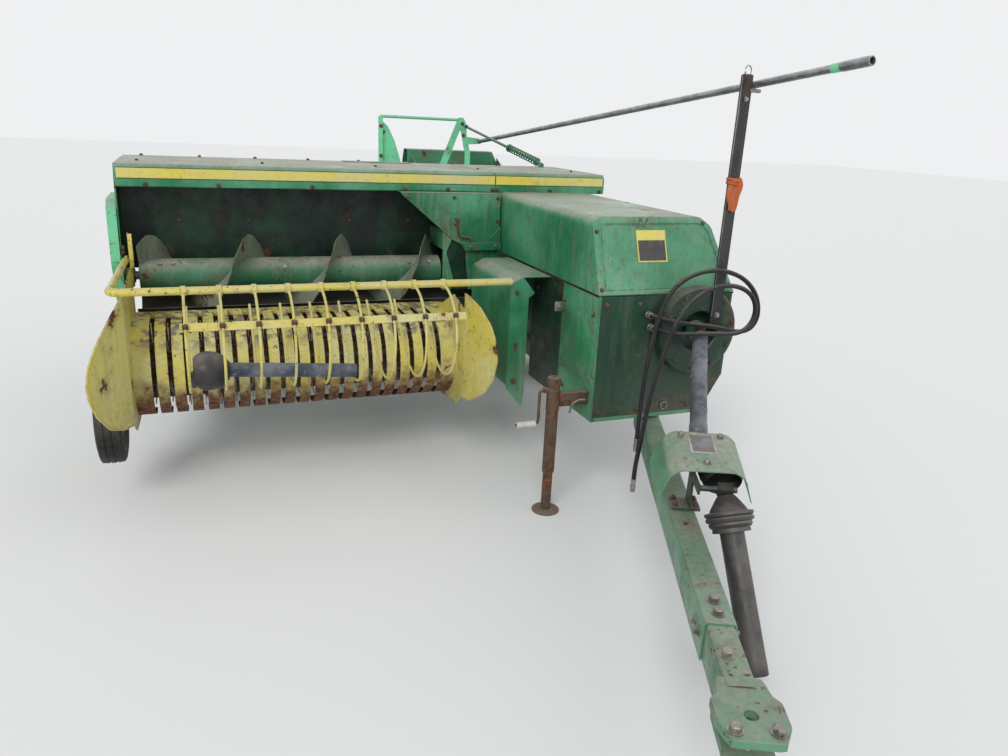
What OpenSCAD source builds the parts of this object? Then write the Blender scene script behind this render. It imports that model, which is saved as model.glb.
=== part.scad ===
/* [Bale chamber] */
// Clear width of the bale chamber
chamber_w = 456; // [400:1:480]
// Clear height of the bale chamber
chamber_h = 356; // [340:1:380]
// Distance of the chamber's middle from the machine's middle plane
chamber_x = 875; // [800:1:900]
// Height of the chamber floor's top face
chamber_floor = 680; // [640:1:720]
// Rear end of the chamber
chamber_rear = 2660; // [2500:5:2800]
// Front end of the chamber
chamber_front = -330; // [-400:5:-300]
// Sheet of the chamber walls
chamber_sheet = 6; // [4:0.5:8]

/* [Hood and housing] */
// Left to right reach of the hood, pickup side
hood_x0 = -1312; // [-1400:1:-1250]
// Left to right reach of the hood, chamber side
hood_x1 = 1215; // [1100:1:1300]
// Front face of the hood
hood_y0 = 410; // [350:1:450]
// Depth of the hood
hood_depth = 730; // [600:5:800]
// Height of the hood's top
hood_top = 1401; // [1350:1:1450]
// Height of the hood's front band
hood_band = 106; // [80:1:130]
// Sheet thickness of hood, housing and shields
sheet = 3; // [2:0.5:5]
// Hole and slot clearance between moving neighbours
move_gap = 6; // [5:0.5:12]
// Radial clearance of a shaft in its bore
run_gap = 0.1; // [0.05:0.01:0.1]

/* [Auger] */
// Distance of the auger's axis behind the middle plane
auger_y = 410; // [380:1:440]
// Height of the auger's axis
auger_z = 884; // [850:1:920]
// Radius of the auger tube
auger_tube_r = 77; // [60:1:90]
// Radius over the auger flights
auger_r = 190; // [170:1:210]
// Pitch of the auger flights
auger_pitch = 452; // [400:1:500]
// Radius of the trough under the auger
trough_r = 204; // [196:1:225]

/* [Pickup] */
// Distance of the reel's axis behind the middle plane
reel_y = 40; // [20:1:60]
// Height of the reel's axis
reel_z = 533; // [450:1:600]
// Radius over the stripper bands
band_r = 209; // [180:1:230]
// Radius of the tine tips
tine_r = 247; // [230:1:252]
// Radius of the circle the tine bars sit on
bar_r = 130; // [110:1:150]
// Tines along one bar
tine_count = 20; // [10:1:24]
// Distance of the outer tines from the end plates
tine_margin = 83; // [70:1:100]
// Radius of a tine wire
tine_wire_r = 3; // [2:0.1:4]
// Width of one stripper band
band_w = 46; // [40:1:52]
// Inner face of the pickup's end plate, pickup side
pick_x0 = -1271; // [-1300:1:-1250]
// Inner face of the pickup's end plate, chamber side
pick_x1 = 162; // [140:1:180]
// Radius of the guide slot that carries the pickup's chamber side
guide_r = 250; // [244:1:256]
// Outward lean of the outer end's flare
flare_lean_outer = 31; // [16:1:36]
// Outward lean of the inner end's flare
flare_lean_inner = 16; // [8:1:24]
// Height of the outer end plate's upper edge
outer_top = 930; // [880:1:945]

/* [Windguard] */
// Radius of the windguard pipe
guard_pipe_r = 16; // [12:1:20]
// Place of the pipe before the middle plane
guard_y = -383; // [-420:1:-350]
// Height of the pipe
guard_z = 968; // [930:1:1000]
// Radius of a guard rod
guard_rod_r = 5.5; // [4:0.5:8]
// Number of guard rods
guard_rods = 9; // [5:1:11]
// Bend radius of the guard rods
guard_bend = 199; // [170:1:220]
// Hinge line of the windguard, behind the middle plane
guard_pivot_y = 350; // [346:1:354]
// Hinge line of the windguard, height
guard_pivot_z = 972; // [960:1:990]

/* [Wheels] */
// Axle line behind the middle plane
axle_y = 1150; // [1000:5:1300]
// Radius of the chamber side tyre
left_r = 343; // [320:1:360]
// Width of the chamber side tyre
left_w = 240; // [200:1:260]
// Middle of the chamber side tyre
left_x = 1326; // [1280:1:1400]
// Radius of the pickup side tyre
right_r = 320; // [290:1:340]
// Width of the pickup side tyre
right_w = 190; // [160:1:220]
// Middle of the pickup side tyre
right_x = -900; // [-1000:1:-850]
// Radius of the pickup's gauge tyre
gauge_r = 196; // [180:1:210]
// Middle of the gauge tyre
gauge_x = -1372; // [-1390:1:-1350]
// Height of the gauge wheel's axle
gauge_z = 376; // [300:1:420]

/* [Tongue] */
// Side place of the tongue's pivot
tongue_x = 981; // [950:1:1010]
// Place of the tongue's pivot before the middle plane
tongue_y = -620; // [-660:1:-600]
// Length from the pivot to the hitch pin hole
tongue_len = 2092; // [1900:1:2300]
// Swing of the tongue in the modelled state
tongue_swing = 24.5; // [0:0.5:30]
// Height of the tongue's top face
tongue_top = 412; // [380:1:420]
// Depth of the tongue beam
tongue_deep = 120; // [100:1:150]
// Width of the tongue beam
tongue_wide = 90; // [70:1:110]
// Radius of the hitch pin hole
hitch_hole_r = 16.5; // [13:0.5:20]

/* [Drive] */
// Side place of the drive line
drive_x = 1035; // [1000:1:1060]
// Height of the drive line
drive_z = 830; // [820:1:900]
// Pickup side wall of the drive shields
shield_x0 = 571; // [540:1:600]
// Seam height between the two drive shields
seam_z = 985; // [950:1:1020]
// Bottom of the lower drive shield
shield_z0 = 427; // [400:1:460]

/* [Hidden] */
$fn = 48;
eps = 1;
seat = 0.3;
chamber_x0 = chamber_x - chamber_w / 2;
chamber_x1 = chamber_x + chamber_w / 2;
chamber_roof = chamber_floor + chamber_h;
hood_y1 = hood_y0 + hood_depth;
hood_low = hood_top - hood_band;
wheel_clear = 30;

/* Helpers that place a plain solid by its real limits */
module box(x0, x1, y0, y1, z0, z1) {
  translate([x0, y0, z0])
    cube([x1 - x0, y1 - y0, z1 - z0]);
}

module rod_x(x0, x1, y, z, r) {
  translate([x0, y, z])
    rotate([0, 90, 0])
      cylinder(h = x1 - x0, r = r);
}

module rod_y(y0, y1, x, z, r) {
  translate([x, y0, z])
    rotate([-90, 0, 0])
      cylinder(h = y1 - y0, r = r);
}

module rod_z(z0, z1, x, y, r) {
  translate([x, y, z0])
    cylinder(h = z1 - z0, r = r);
}

module rod(a, b, r) {
  way = b - a;
  far = norm(way);
  translate(a)
    rotate([0, acos(way[2] / far), atan2(way[1], way[0])])
      cylinder(h = far, r = r);
}

module plate_x(x0, x1, points) {
  translate([x0, 0, 0])
    rotate([90, 0, 90])
      linear_extrude(height = x1 - x0)
        polygon(points);
}

module plate_y(y0, y1, points) {
  translate([0, y1, 0])
    rotate([90, 0, 0])
      linear_extrude(height = y1 - y0)
        polygon(points);
}

module plate_z(z0, z1, points) {
  translate([0, 0, z0])
    linear_extrude(height = z1 - z0)
      polygon(points);
}

/* An arc about a line along X, angles from the rear upwards */
module arc_x(x, y, z, from, turn) {
  translate([x, y, z])
    rotate([90, 0, 90])
      rotate([0, 0, from])
        rotate_extrude(angle = turn, $fn = 96)
          children();
}

/* Frame, axle and spindles */
rail_z0 = 520;
rail_z1 = 600;
rail_w = 60;
axle_half = 40;
spindle_r = 20;
frame_front = -760;
beam_y = auger_y + 290;
guide_at = 285;
guide_y = auger_y + guide_r * cos(guide_at);
guide_z = auger_z + guide_r * sin(guide_at);

module main_frame() {
  color("green")
  difference() {
    union() {
      box(right_x + right_w / 2 + wheel_clear, left_x - left_w / 2 - wheel_clear, axle_y - axle_half,
        axle_y + axle_half, right_r - 25, right_r + 60);
      rod_x(right_x - 70, right_x + right_w / 2 + wheel_clear, axle_y, right_r, spindle_r);
      rod_x(left_x - left_w / 2 - wheel_clear, left_x + 70, axle_y, left_r, spindle_r);
      for (x = [chamber_x0 - chamber_sheet - rail_w, chamber_x1 + chamber_sheet])
        box(x, x + rail_w, axle_y - axle_half, axle_y + axle_half, right_r + 60, rail_z1);
      for (x = [chamber_x0 - chamber_sheet - rail_w, chamber_x1 + chamber_sheet - 40])
        box(x, x + rail_w, frame_front, axle_y + 120, rail_z0, rail_z1);
      for (y = [frame_front, -120, axle_y + 60])
        box(chamber_x0 - chamber_sheet - rail_w, chamber_x1 + chamber_sheet + 20, y, y + 60, rail_z0, rail_z1);
      for (y = [-120, axle_y + 60])
        for (x = [chamber_x0 - chamber_sheet, chamber_x1 - 40])
          box(x, x + 40, y, y + 60, rail_z1, chamber_floor - chamber_sheet);
      for (x = [-220, 400]) {
        box(x, x + 40, axle_y, axle_y + axle_half, right_r + 60, 780);
        box(x, x + 40, axle_y + axle_half - 1, 1800, 740, 780);
      }
      box(shield_x0 + sheet, chamber_x0, frame_front, frame_front + 60, rail_z0, rail_z1);
      box(tongue_x - 80, tongue_x + 80, frame_front, tongue_y + 80, rail_z0 - 20, rail_z0);
      box(hood_x0 + 14, chamber_x0 - chamber_sheet - rail_w, beam_y, beam_y + 60, rail_z0, rail_z1);
      plate_x(pick_x1 + 14, pick_x1 + 20, [[guide_y - 16, guide_z - 14], [guide_y + 10, guide_z - 16],
        [beam_y + 1, rail_z0 + 10], [beam_y + 1, rail_z1], [guide_y + 14, guide_z + 16],
        [guide_y - 14, guide_z + 16]]);
      rod_x(pick_x1 - 10, pick_x1 + 15, guide_y, guide_z, 12);
      rod_x(pick_x1 - 12, pick_x1 - 6, guide_y, guide_z, 19);
    }
    translate([tongue_x, tongue_y, rail_z0 - 21])
      cylinder(h = 22, r = 25 + run_gap);
  }
}

/* Bale chamber, a hollow tunnel with needle slots and a feed opening */
needle_x = [chamber_x - 115, chamber_x + 115];
needle_r = 500;
needle_pivot_y = 2000;
needle_pivot_z = chamber_floor + chamber_h / 2;
needle_slot_y = needle_pivot_y - sqrt(needle_r * needle_r - chamber_h * chamber_h / 4);
feed_y0 = 215;
feed_y1 = 640;

module bale_chamber() {
  s = chamber_sheet;
  color("green")
  difference() {
    union() {
      box(chamber_x0 - s, chamber_x1 + s, chamber_front, chamber_rear, chamber_floor - s, chamber_roof + s);
      for (y = [950, 1350, 2050, 2450])
        box(chamber_x0 - s - 24, chamber_x1 + s + 24, y, y + 30, chamber_floor - s - 24, chamber_roof + s + 24);
      for (x = [chamber_x - 312, chamber_x1 + s - 1])
        rod_x(x, x + 79, needle_pivot_y, needle_pivot_z, 20);
      for (z = [chamber_floor - s - 24, chamber_roof - 14])
        for (x = [chamber_x0 - s - 24, chamber_x1 + s])
          box(x, x + 24, 1400, chamber_rear, z, z + 44);
    }
    box(chamber_x0, chamber_x1, chamber_front - eps, chamber_rear + eps, chamber_floor, chamber_roof);
    box(chamber_x0 - s - eps, chamber_x0 + eps, feed_y0, feed_y1, chamber_floor + 10, chamber_roof - 10);
    for (x = needle_x)
      box(x - 14, x + 14, needle_slot_y - 60, needle_slot_y + 60, chamber_floor - s - 30, chamber_roof + s + 30);
    box(chamber_x - 30, chamber_x + 30, 2130, 2430, chamber_roof - eps, chamber_roof + s + 30);
    for (x = [chamber_x0 + 60, chamber_x1 - 60])
      rod_z(chamber_roof - eps, chamber_roof + s + 30, x, 2550, 10 + move_gap);
    for (x = [chamber_x0 - s - 30, chamber_x1 - eps])
      box(x, x + s + 31, 2110, 2430, chamber_floor + 60, chamber_roof - 60);
    for (y = [1470, 1740])
      for (x = [chamber_x0 - s - eps, chamber_x1 - eps])
        box(x, x + s + 2 * eps, y, y + 180, chamber_floor + 90, chamber_roof - 90);
  }
}

/* Auger housing, trough with back wall and one end sheet */
trough_x0 = pick_x0 + 20;
boss_r = 34;

module auger_housing() {
  color("green")
  difference() {
    union() {
    arc_x(trough_x0, auger_y, auger_z, 218, 142)
      translate([trough_r, 0])
        square([sheet, chamber_x0 - chamber_sheet - trough_x0]);
    box(hood_x0 + sheet, chamber_x0 - chamber_sheet, auger_y + trough_r, auger_y + trough_r + sheet, auger_z,
      hood_top - sheet);
    plate_x(hood_x0, hood_x0 + sheet, [[hood_y0 - 40, 940], [hood_y0 - 10, hood_low], [hood_y0, hood_low],
      [hood_y0 + 40, hood_top - sheet], [hood_y1 - 20, hood_top - sheet], [hood_y1 - 20, 900],
      [beam_y + 40, rail_z1], [auger_y + 170, 630], [auger_y - 100, 690], [auger_y - 160, 750]]);
    for (x = [-1200, -500, 240])
      plate_x(x, x + 6, [[auger_y + trough_r + sheet - 1, auger_z], [beam_y + 50, rail_z1],
        [beam_y, rail_z1], [592, 789]]);
      box(590, 596, 370, auger_y + trough_r + 1, 840, 930);
    }
    rod_x(hood_x0 - 1, hood_x0 + sheet + 1, auger_y, auger_z, auger_shaft_r + run_gap);
    rod_x(589, 597, auger_y, auger_z, auger_shaft_r + run_gap);
  }
}

/* Boss that carries the auger's shaft and the pickup's outer end */
module auger_boss() {
  color("green")
  difference() {
    rod_x(hood_x0 + sheet, pick_x0 + 12, auger_y, auger_z, boss_r);
    rod_x(hood_x0, pick_x0 + 13, auger_y, auger_z, auger_shaft_r + run_gap);
  }
}

/* Hood, a bent cover with an open underside */
module hood() {
  bevel = 28;
  color("green")
  difference() {
    plate_x(hood_x0 + sheet, hood_x1, [[hood_y0, hood_low], [hood_y0, hood_top - bevel], [hood_y0 + 16, hood_top],
      [hood_y1, hood_top], [hood_y1, hood_top - 40], [hood_y1 - sheet, hood_top - 40],
      [hood_y1 - sheet, hood_top - sheet], [hood_y0 + 18, hood_top - sheet],
      [hood_y0 + sheet, hood_top - bevel - 1], [hood_y0 + sheet, hood_low + sheet],
      [hood_y0 + 30, hood_low + sheet], [hood_y0 + 30, hood_low]]);
    box(hood_x0, hood_x1 - 600, auger_y + trough_r - seat, auger_y + trough_r + sheet + seat, hood_top - 60,
      hood_top - sheet);
  }
  color("green")
    plate_x(hood_x1, hood_x1 + sheet, [[hood_y0, hood_low], [hood_y0, hood_top - bevel], [hood_y0 + 16, hood_top],
      [hood_y1, hood_top], [hood_y1, hood_top - 120], [hood_y0 + 200, hood_low]]);
}

/* Feeder front panel between the mouth and the drive shields */
module feeder_panel() {
  color("green") {
    plate_y(338, 341, [[15, hood_low], [243, 1100], [243, 780], [shield_x0 - 8, 780], [shield_x0 - 8, hood_low]]);
    box(243, 246, 341, 600, 1000, 1100);
    box(15, shield_x0 - 8, 341, hood_y0 + 25, hood_low - sheet, hood_low);
    rod_x(330, shield_x0 - 8, 324, 1018, 18);
  }
}

/* Upper drive shield, a hollow cover open below and behind */
module shield_outline(grow) {
  g = grow;
  polygon([[shield_x0 + g, seam_z], [shield_x0 + g, 1270], [shield_x0 + 30, 1300 - g], [1105, 1300 - g],
    [1160 - g, 1262], [1250 - g, seam_z]]);
}

module shield_block(grow, back) {
  difference() {
    translate([0, back, 0])
      rotate([90, 0, 0])
        linear_extrude(height = back + 900)
          shield_outline(grow);
    translate([500, -820 + grow, seam_z])
      rotate([-21, 0, 0])
        translate([0, -400, -200])
          cube([900, 400, 900]);
  }
}

module upper_drive_shield() {
  color("green")
  difference() {
    shield_block(0, hood_y0 - seat);
    shield_block(sheet, hood_y0 + 10);
    box(400, 1400, -900, 600, seam_z - 10, seam_z + 0.1);
  }
}

/* Lower drive shield, hollow and open at the back */
module lower_drive_shield() {
  color("green")
  difference() {
    union() {
      box(shield_x0, 1240, -838, -140, shield_z0, seam_z - seat);
      rod_y(-900, -838, drive_x, drive_z, 195);
      rod_y(-850, -838, hose_a_route[0][0], hose_a_route[0][2], 14);
      rod_y(-850, -838, hose_b_route[0][0], hose_b_route[0][2], 14);
    }
    box(shield_x0 + sheet, 1240 - sheet, -835, -139, shield_z0 - eps, seam_z + eps);
    rod_y(-897, -830, drive_x, drive_z, 192);
    rod_y(-901, -890, drive_x, drive_z, 90);
    translate([1100, -840, shield_z0 - 1])
      rotate([0, 32, 0])
        cube([300, 720, 200]);
  }
}

/* Box guard over the pickup drive, an open channel of sheet */
module box_guard() {
  color("green") {
    plate_y(-340, 200, [[365, 450], [365, 945], [430, 977], [shield_x0 - seat, 977], [shield_x0 - seat, 974],
      [431, 974], [368, 943], [368, 450]]);
    plate_y(-343, -340, [[365, 430], [365, 945], [430, 977], [490, 900], [478, 890], [460, 880], [460, 420],
      [452, 331], [380, 420]]);
  }
}

/* Chain guard on the outside of the housing's end */
module end_guard() {
  color("lightgreen")
  difference() {
    plate_x(hood_x0 - 42, hood_x0 - seat, [[auger_y - 50, 960], [auger_y - 30, 1200], [auger_y + 30, 1240],
      [auger_y + 330, 1240], [auger_y + 380, 1000], [auger_y + 330, 700], [auger_y + 60, 690]]);
    rod_x(hood_x0 - 9, hood_x0 + 1, auger_y, auger_z, 25 + move_gap);
    plate_x(hood_x0 - 39, hood_x0 + 1, [[auger_y - 46, 963], [auger_y - 27, 1197], [auger_y + 31, 1237],
      [auger_y + 328, 1237], [auger_y + 377, 1000], [auger_y + 328, 703], [auger_y + 62, 693]]);
  }
}

/* Knotters on the chamber roof with their cover */
knot_z = chamber_roof + chamber_sheet + 24;

module knotter_stack() {
  color("green") {
    box(560, chamber_x1 + 150, 1800, 1840, knot_z, knot_z + 180);
    for (x = [560, chamber_x1 + 110])
      box(x, x + 20, 1560, 1800, knot_z, knot_z + 160);
    rod_x(580, chamber_x1 + 110, 1700, knot_z + 100, 24);
    for (x = needle_x)
      rod_x(x + 30, x + 60, 1700, knot_z + 100, 90);
    difference() {
      plate_x(525, 1257, [[2150, 1130], [2200, 1440], [2210, 1445], [2300, 1445], [2420, 1200], [2416, 1199],
        [2298, 1441], [2212, 1441], [2204, 1437], [2154, 1130]]);
      plate_y(2100, 2500, [[1257, 1445], [1190, 1450], [1262, 1300]]);
    }
    for (x = [560, chamber_x1 + 150 - 20])
      plate_x(x, x + 4, [[1840, knot_z], [1840, knot_z + 170], [2204, 1400], [2170, 1160]]);
  }
}

/* Arm with its stay, upright and cross bar over the chamber */
arm_y = 1960;

module rear_arm() {
  color("green") {
    plate_y(arm_y, arm_y + 8, [[chamber_x0 - 5, 1200], [840, 1680], [876, 1680], [900, 1640], [905, 1560],
      [935, 1440], [935, 1200], [895, 1200], [895, 1430], [868, 1560], [855, 1600], [838, 1560], [700, 1200]]);
    rod_x(276, 850, arm_y + 14, 1664, 10);
    box(262, 290, arm_y, arm_y + 24, 1070, 1664);
    plate_y(arm_y + 24, arm_y + 28, [[270, 1130], [270, 1648], [330, 1600], [380, 1500], [420, 1370],
      [420, 1130]]);
    plate_y(arm_y, arm_y + 8, [[900, 1497], [1010, 1505], [1030, 1523], [1010, 1541], [900, 1550]]);
    box(262, chamber_x0 + 20, arm_y - 10, arm_y + 40, knot_z, knot_z + 10);
    plate_y(arm_y, arm_y + 8, [[chamber_x0 - 30, knot_z + 10], [chamber_x0 - 30, 1210], [940, 1210],
      [940, knot_z + 10]]);
  }
}

/* Spring loaded rod from the arm to the hood */
spring_top = [892, arm_y - 10, 1622];
spring_foot = [1120, hood_y1 - 60, hood_top + 17];
module spring_rod() {
  color("green") {
    rod(spring_top, spring_foot, 9);
    rod_z(hood_top, hood_top + 20, 1120, hood_y1 - 60, 14);
    rod_y(arm_y - 22, arm_y, 892, 1622, 8);
    rod(spring_a, spring_a + 5 * spring_way, 26);
    rod(spring_b - 5 * spring_way, spring_b, 26);
  }
}

/* Coil round the rod's lower end */
spring_way = (spring_foot - spring_top) / norm(spring_foot - spring_top);
spring_a = spring_foot - 370 * spring_way;
spring_b = spring_foot - 50 * spring_way;
spring_long = norm(spring_b - spring_a) - 10.6;
spring_turns = 11;

module arm_spring() {
  steps = spring_turns * 12;
  sides = 6;
  pts = [for (i = [0 : 1 : steps])
    for (k = [0 : 1 : sides - 1])
      let (a = 30 * i)
      let (q = 21 + 4 * cos(60 * k))
      [q * cos(a), q * sin(a), 4 + (spring_long - 8) * i / steps + 4 * sin(60 * k)]];
  near = [for (i = [0 : 1 : steps - 1])
    for (k = [0 : 1 : sides - 1])
      [i * sides + k, i * sides + (k + 1) % sides, (i + 1) * sides + (k + 1) % sides]];
  away = [for (i = [0 : 1 : steps - 1])
    for (k = [0 : 1 : sides - 1])
      [i * sides + k, (i + 1) * sides + (k + 1) % sides, (i + 1) * sides + k]];
  first = [for (k = [sides - 1 : -1 : 0]) k];
  last = [for (k = [0 : 1 : sides - 1]) steps * sides + k];
  color("green")
    translate(spring_a + 5.3 * spring_way)
      rotate([0, acos(spring_way[2]), atan2(spring_way[1], spring_way[0])])
        polyhedron(points = pts, faces = concat([first], near, away, [last]), convexity = 10);
}

/* Flat upright before the drive shield */
post_x = 1104;
post_y = -905;

module post() {
  color("black") {
    box(post_x - 26, post_x + 26, post_y - 5, post_y + 5, 850, 1884);
    rod_x(post_x + 25, post_x + 72, post_y, 1824.2, 8);
    translate([post_x, post_y, 1892])
      rotate([90, 0, 20])
        rotate_extrude()
          translate([22, 0])
            circle(r = 3, $fn = 16);
  }
}

/* Long pipe resting on the post's pin, its rear end on the arm */
control_rear = [1003, arm_y - 2.2, 1523.4];
control_front = [1175, -1466, 1911];

module control_rod() {
  color("silver") {
    rod(control_rear, control_front, 15);
    rod(control_rear + 0.962 * (control_front - control_rear), control_front, 18);
  }
}

/* Density rails, springs and cranks at the chamber's rear */
module density_rails() {
  color("green") {
    for (x = [chamber_x0 + 30, chamber_x1 - 90]) {
      box(x, x + 60, 2110, chamber_rear - 10, chamber_roof - 44, chamber_roof - 38);
      rod_z(chamber_roof - 38, 1330, x + 30, 2550, 10);
      rod_z(1180, 1300, x + 30, 2550, 24);
    }
    box(chamber_x0 - 60, chamber_x1 + 60, 2520, 2580, 1130, 1170);
    for (x = [chamber_x0 - 60, chamber_x1 + 40])
      box(x, x + 20, 2520, 2580, chamber_roof + 30, 1130);
  }
}

/* Twine box between the wheel and the chamber */
twine_x0 = -260;
twine_x1 = 540;
twine_y0 = 1240;
twine_y1 = 1840;
twine_z0 = 780;
twine_z1 = 1200;
lid_hinge_y = twine_y1 + 12;
lid_hinge_z = twine_z1 + 4;
hinge_x = [twine_x0 + 60, twine_x1 - 180];

module twine_box() {
  color("green") {
    difference() {
      box(twine_x0, twine_x1, twine_y0, twine_y1, twine_z0, twine_z1);
      box(twine_x0 + 4, twine_x1 - 4, twine_y0 + 4, twine_y1 - 4, twine_z0 + 4, twine_z1 + eps);
    }
    for (a = hinge_x) {
      rod_x(a - 14, a + 134, lid_hinge_y, lid_hinge_z, 4);
      for (x = [a - 14, a + 125]) {
        box(x, x + 9, twine_y1 + 6, lid_hinge_y + 6, twine_z1 - 20, lid_hinge_z + 6);
        box(x, x + 9, twine_y1 - 1, lid_hinge_y + 6, twine_z1 - 20, twine_z1 - 10);
      }
    }
  }
}

module twine_lid() {
  color("green")
  difference() {
    union() {
      box(twine_x0 - 4, twine_x1 + 4, twine_y0 - 4, twine_y1, twine_z1 + seat, twine_z1 + 6);
      for (a = hinge_x) {
        box(a, a + 120, twine_y1 - 1, lid_hinge_y, twine_z1 + seat, twine_z1 + 6);
        rod_x(a, a + 120, lid_hinge_y, lid_hinge_z, 8);
      }
    }
    for (a = hinge_x)
      rod_x(a - 1, a + 121, lid_hinge_y, lid_hinge_z, 4 + run_gap);
  }
}

/* Star wheel that measures the bale */
star_y = 2296;
star_z = 1120;

module star_wheel() {
  color("silver")
  difference() {
    union() {
      rod_x(chamber_x - 4, chamber_x + 4, star_y, star_z, 110);
      for (a = [0 : 30 : 330])
        translate([chamber_x - 4, star_y, star_z])
          rotate([a, 0, 0])
            translate([0, -8, 100])
              cube([8, 16, 34]);
      rod_x(chamber_x - 20, chamber_x + 20, star_y, star_z, 22);
    }
    rod_x(chamber_x - 25, chamber_x + 25, star_y, star_z, 10 + run_gap);
  }
}

/* Needle yoke under the chamber, needles bent about its pivot */
yoke_half = chamber_w / 2 + 74;

module needle_yoke() {
  color("silver")
  difference() {
    union() {
    for (x = needle_x)
      arc_x(x - 7, needle_pivot_y, needle_pivot_z, 204, 82)
        translate([needle_r - 14, 0])
          square([28, 14]);
    rod_x(chamber_x - yoke_half, chamber_x + yoke_half, needle_pivot_y + 120, needle_pivot_z - 480, 22);
    for (side = [-1, 1])
      plate_x(chamber_x + side * yoke_half - 5, chamber_x + side * yoke_half + 5,
        [[needle_pivot_y - 30, needle_pivot_z - 30], [needle_pivot_y + 90, needle_pivot_z - 500],
        [needle_pivot_y + 150, needle_pivot_z - 500], [needle_pivot_y + 34, needle_pivot_z + 20],
        [needle_pivot_y, needle_pivot_z + 34], [needle_pivot_y - 34, needle_pivot_z + 10]]);
    }
    rod_x(chamber_x - 320, chamber_x + 320, needle_pivot_y, needle_pivot_z, 20 + run_gap);
  }
}

/* Tyres and rims, rims dished, tyres plain with their lugs in the round */
module tyre(x, y, z, r, w, rim_r) {
  translate([x, y, z])
    rotate([0, 90, 0])
      rotate_extrude($fn = 72)
        polygon([[rim_r, -w * 0.36], [rim_r, w * 0.36], [r - 40, w / 2], [r - 16, w * 0.47], [r, w * 0.36],
          [r, -w * 0.36], [r - 16, -w * 0.47], [r - 40, -w / 2]]);
}

module rim(x, y, z, w, rim_r, bore_r, side) {
  translate([x, y, z])
    rotate([0, 90, 0])
      rotate_extrude($fn = 72)
        polygon([[rim_r - seat, -w * 0.36], [rim_r - seat, w * 0.36], [rim_r - 10, w * 0.36], [rim_r - 10, 14],
          [70, side * 26 + 6], [60, 60], [bore_r, 60], [bore_r, -60], [60, -60], [70, side * 26 - 6],
          [rim_r - 10, 4], [rim_r - 10, -w * 0.36]]);
}

module left_tyre() {
  color("black")
    tyre(left_x, axle_y, left_r, left_r, left_w, 195);
}

module left_rim() {
  color("yellow")
    rim(left_x, axle_y, left_r, left_w, 195, spindle_r + run_gap, 1);
}

module right_tyre() {
  color("black")
    tyre(right_x, axle_y, right_r, right_r, right_w, 195);
}

module right_rim() {
  color("yellow")
    rim(right_x, axle_y, right_r, right_w, 195, spindle_r + run_gap, -1);
}

/* Auger with its flights as one screw */
auger_shaft_r = 20;
flight_x0 = hood_x0 + 76;
flight_x1 = 234;
flight_turns = (flight_x1 - flight_x0) / auger_pitch;
flight_steps = 80;
flight_phase = 125.3;
flight_inner = auger_tube_r / cos(180 * flight_turns / flight_steps) + 0.02;

module screw_flight(r0, r1, thick) {
  ring = [for (i = [0 : 1 : flight_steps])
    for (c = [[r0, -thick / 2], [r1, -thick / 2], [r1, thick / 2], [r0, thick / 2]])
      let (a = flight_phase - 360 * flight_turns * i / flight_steps)
      [flight_x0 + (flight_x1 - flight_x0) * i / flight_steps + c[1], c[0] * cos(a), c[0] * sin(a)]];
  near = [for (i = [0 : 1 : flight_steps - 1])
    for (k = [0 : 1 : 3])
      [4 * i + k, 4 * i + (k + 1) % 4, 4 * i + 4 + (k + 1) % 4]];
  away = [for (i = [0 : 1 : flight_steps - 1])
    for (k = [0 : 1 : 3])
      [4 * i + k, 4 * i + 4 + (k + 1) % 4, 4 * i + 4 + k]];
  last = 4 * flight_steps;
  caps = [[2, 1, 0], [3, 2, 0], [last, last + 1, last + 2], [last, last + 2, last + 3]];
  translate([0, auger_y, auger_z])
    polyhedron(points = ring, faces = concat(near, away, caps), convexity = 8);
}

module auger_tube() {
  color("green")
  difference() {
    rod_x(flight_x0 - 4, flight_x1 + 2, auger_y, auger_z, auger_tube_r);
    rod_x(flight_x0 - 5, flight_x1 + 3, auger_y, auger_z, auger_shaft_r + seat);
  }
}

module auger_shaft() {
  color("silver")
    rod_x(hood_x0 - 6, 610, auger_y, auger_z, auger_shaft_r);
}

module auger_flights() {
  color("green")
    screw_flight(flight_inner, auger_r, 5);
}

/* Flywheel with the input shaft */
module flywheel() {
  color("green") {
    rod_y(-800, -740, drive_x, drive_z, 180);
    rod_y(-860, chamber_front - 40, drive_x, drive_z, 28);
    rod_y(-882, -860, drive_x, drive_z, 44);
  }
}

/* Pickup frame: end plates, flares, arms and rear tube */
pick_drop = 24;
slot_from = guide_at - pick_drop - 3;
slot_to = guide_at + 3;
guide_slot = concat(
  [for (a = [slot_from : 3 : slot_to]) [auger_y + (guide_r + 13) * cos(a), auger_z + (guide_r + 13) * sin(a)]],
  [for (a = [slot_to : -3 : slot_from]) [auger_y + (guide_r - 13) * cos(a), auger_z + (guide_r - 13) * sin(a)]]);
flare_outer = [[2, 390], [-60, 392], [-150, 425], [-215, 500], [-250, 580], [-255, 640], [-235, 700],
  [-190, 765], [-95, 850], [-30, 905], [2, outer_top]];
flare_inner = [[2, 392], [-60, 395], [-170, 460], [-235, 540], [-262, 640], [-250, 720], [-205, 790],
  [-120, 855], [-20, 893], [2, 896]];
end_lower = [[-289, 390], [-200, 330], [60, 300], [320, 360], [440, 470], [540, 560], [auger_y + 138, 690],
  [auger_y + 98, 684], [auger_y + 58, 668], [auger_y + 10, 658]];

module flare(x, side, lean, outline) {
  translate([x, -290, 0])
    rotate([0, 0, side * lean])
      plate_x(side < 0 ? -sheet : 0, side < 0 ? 0 : sheet, outline);
}

module pickup_frame() {
  color("yellow") {
    rod_x(pick_x0, pick_x1, 350, 450, 30);
    box(pick_x0, pick_x1, 222, 240, 716, 742);
  }
}

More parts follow.
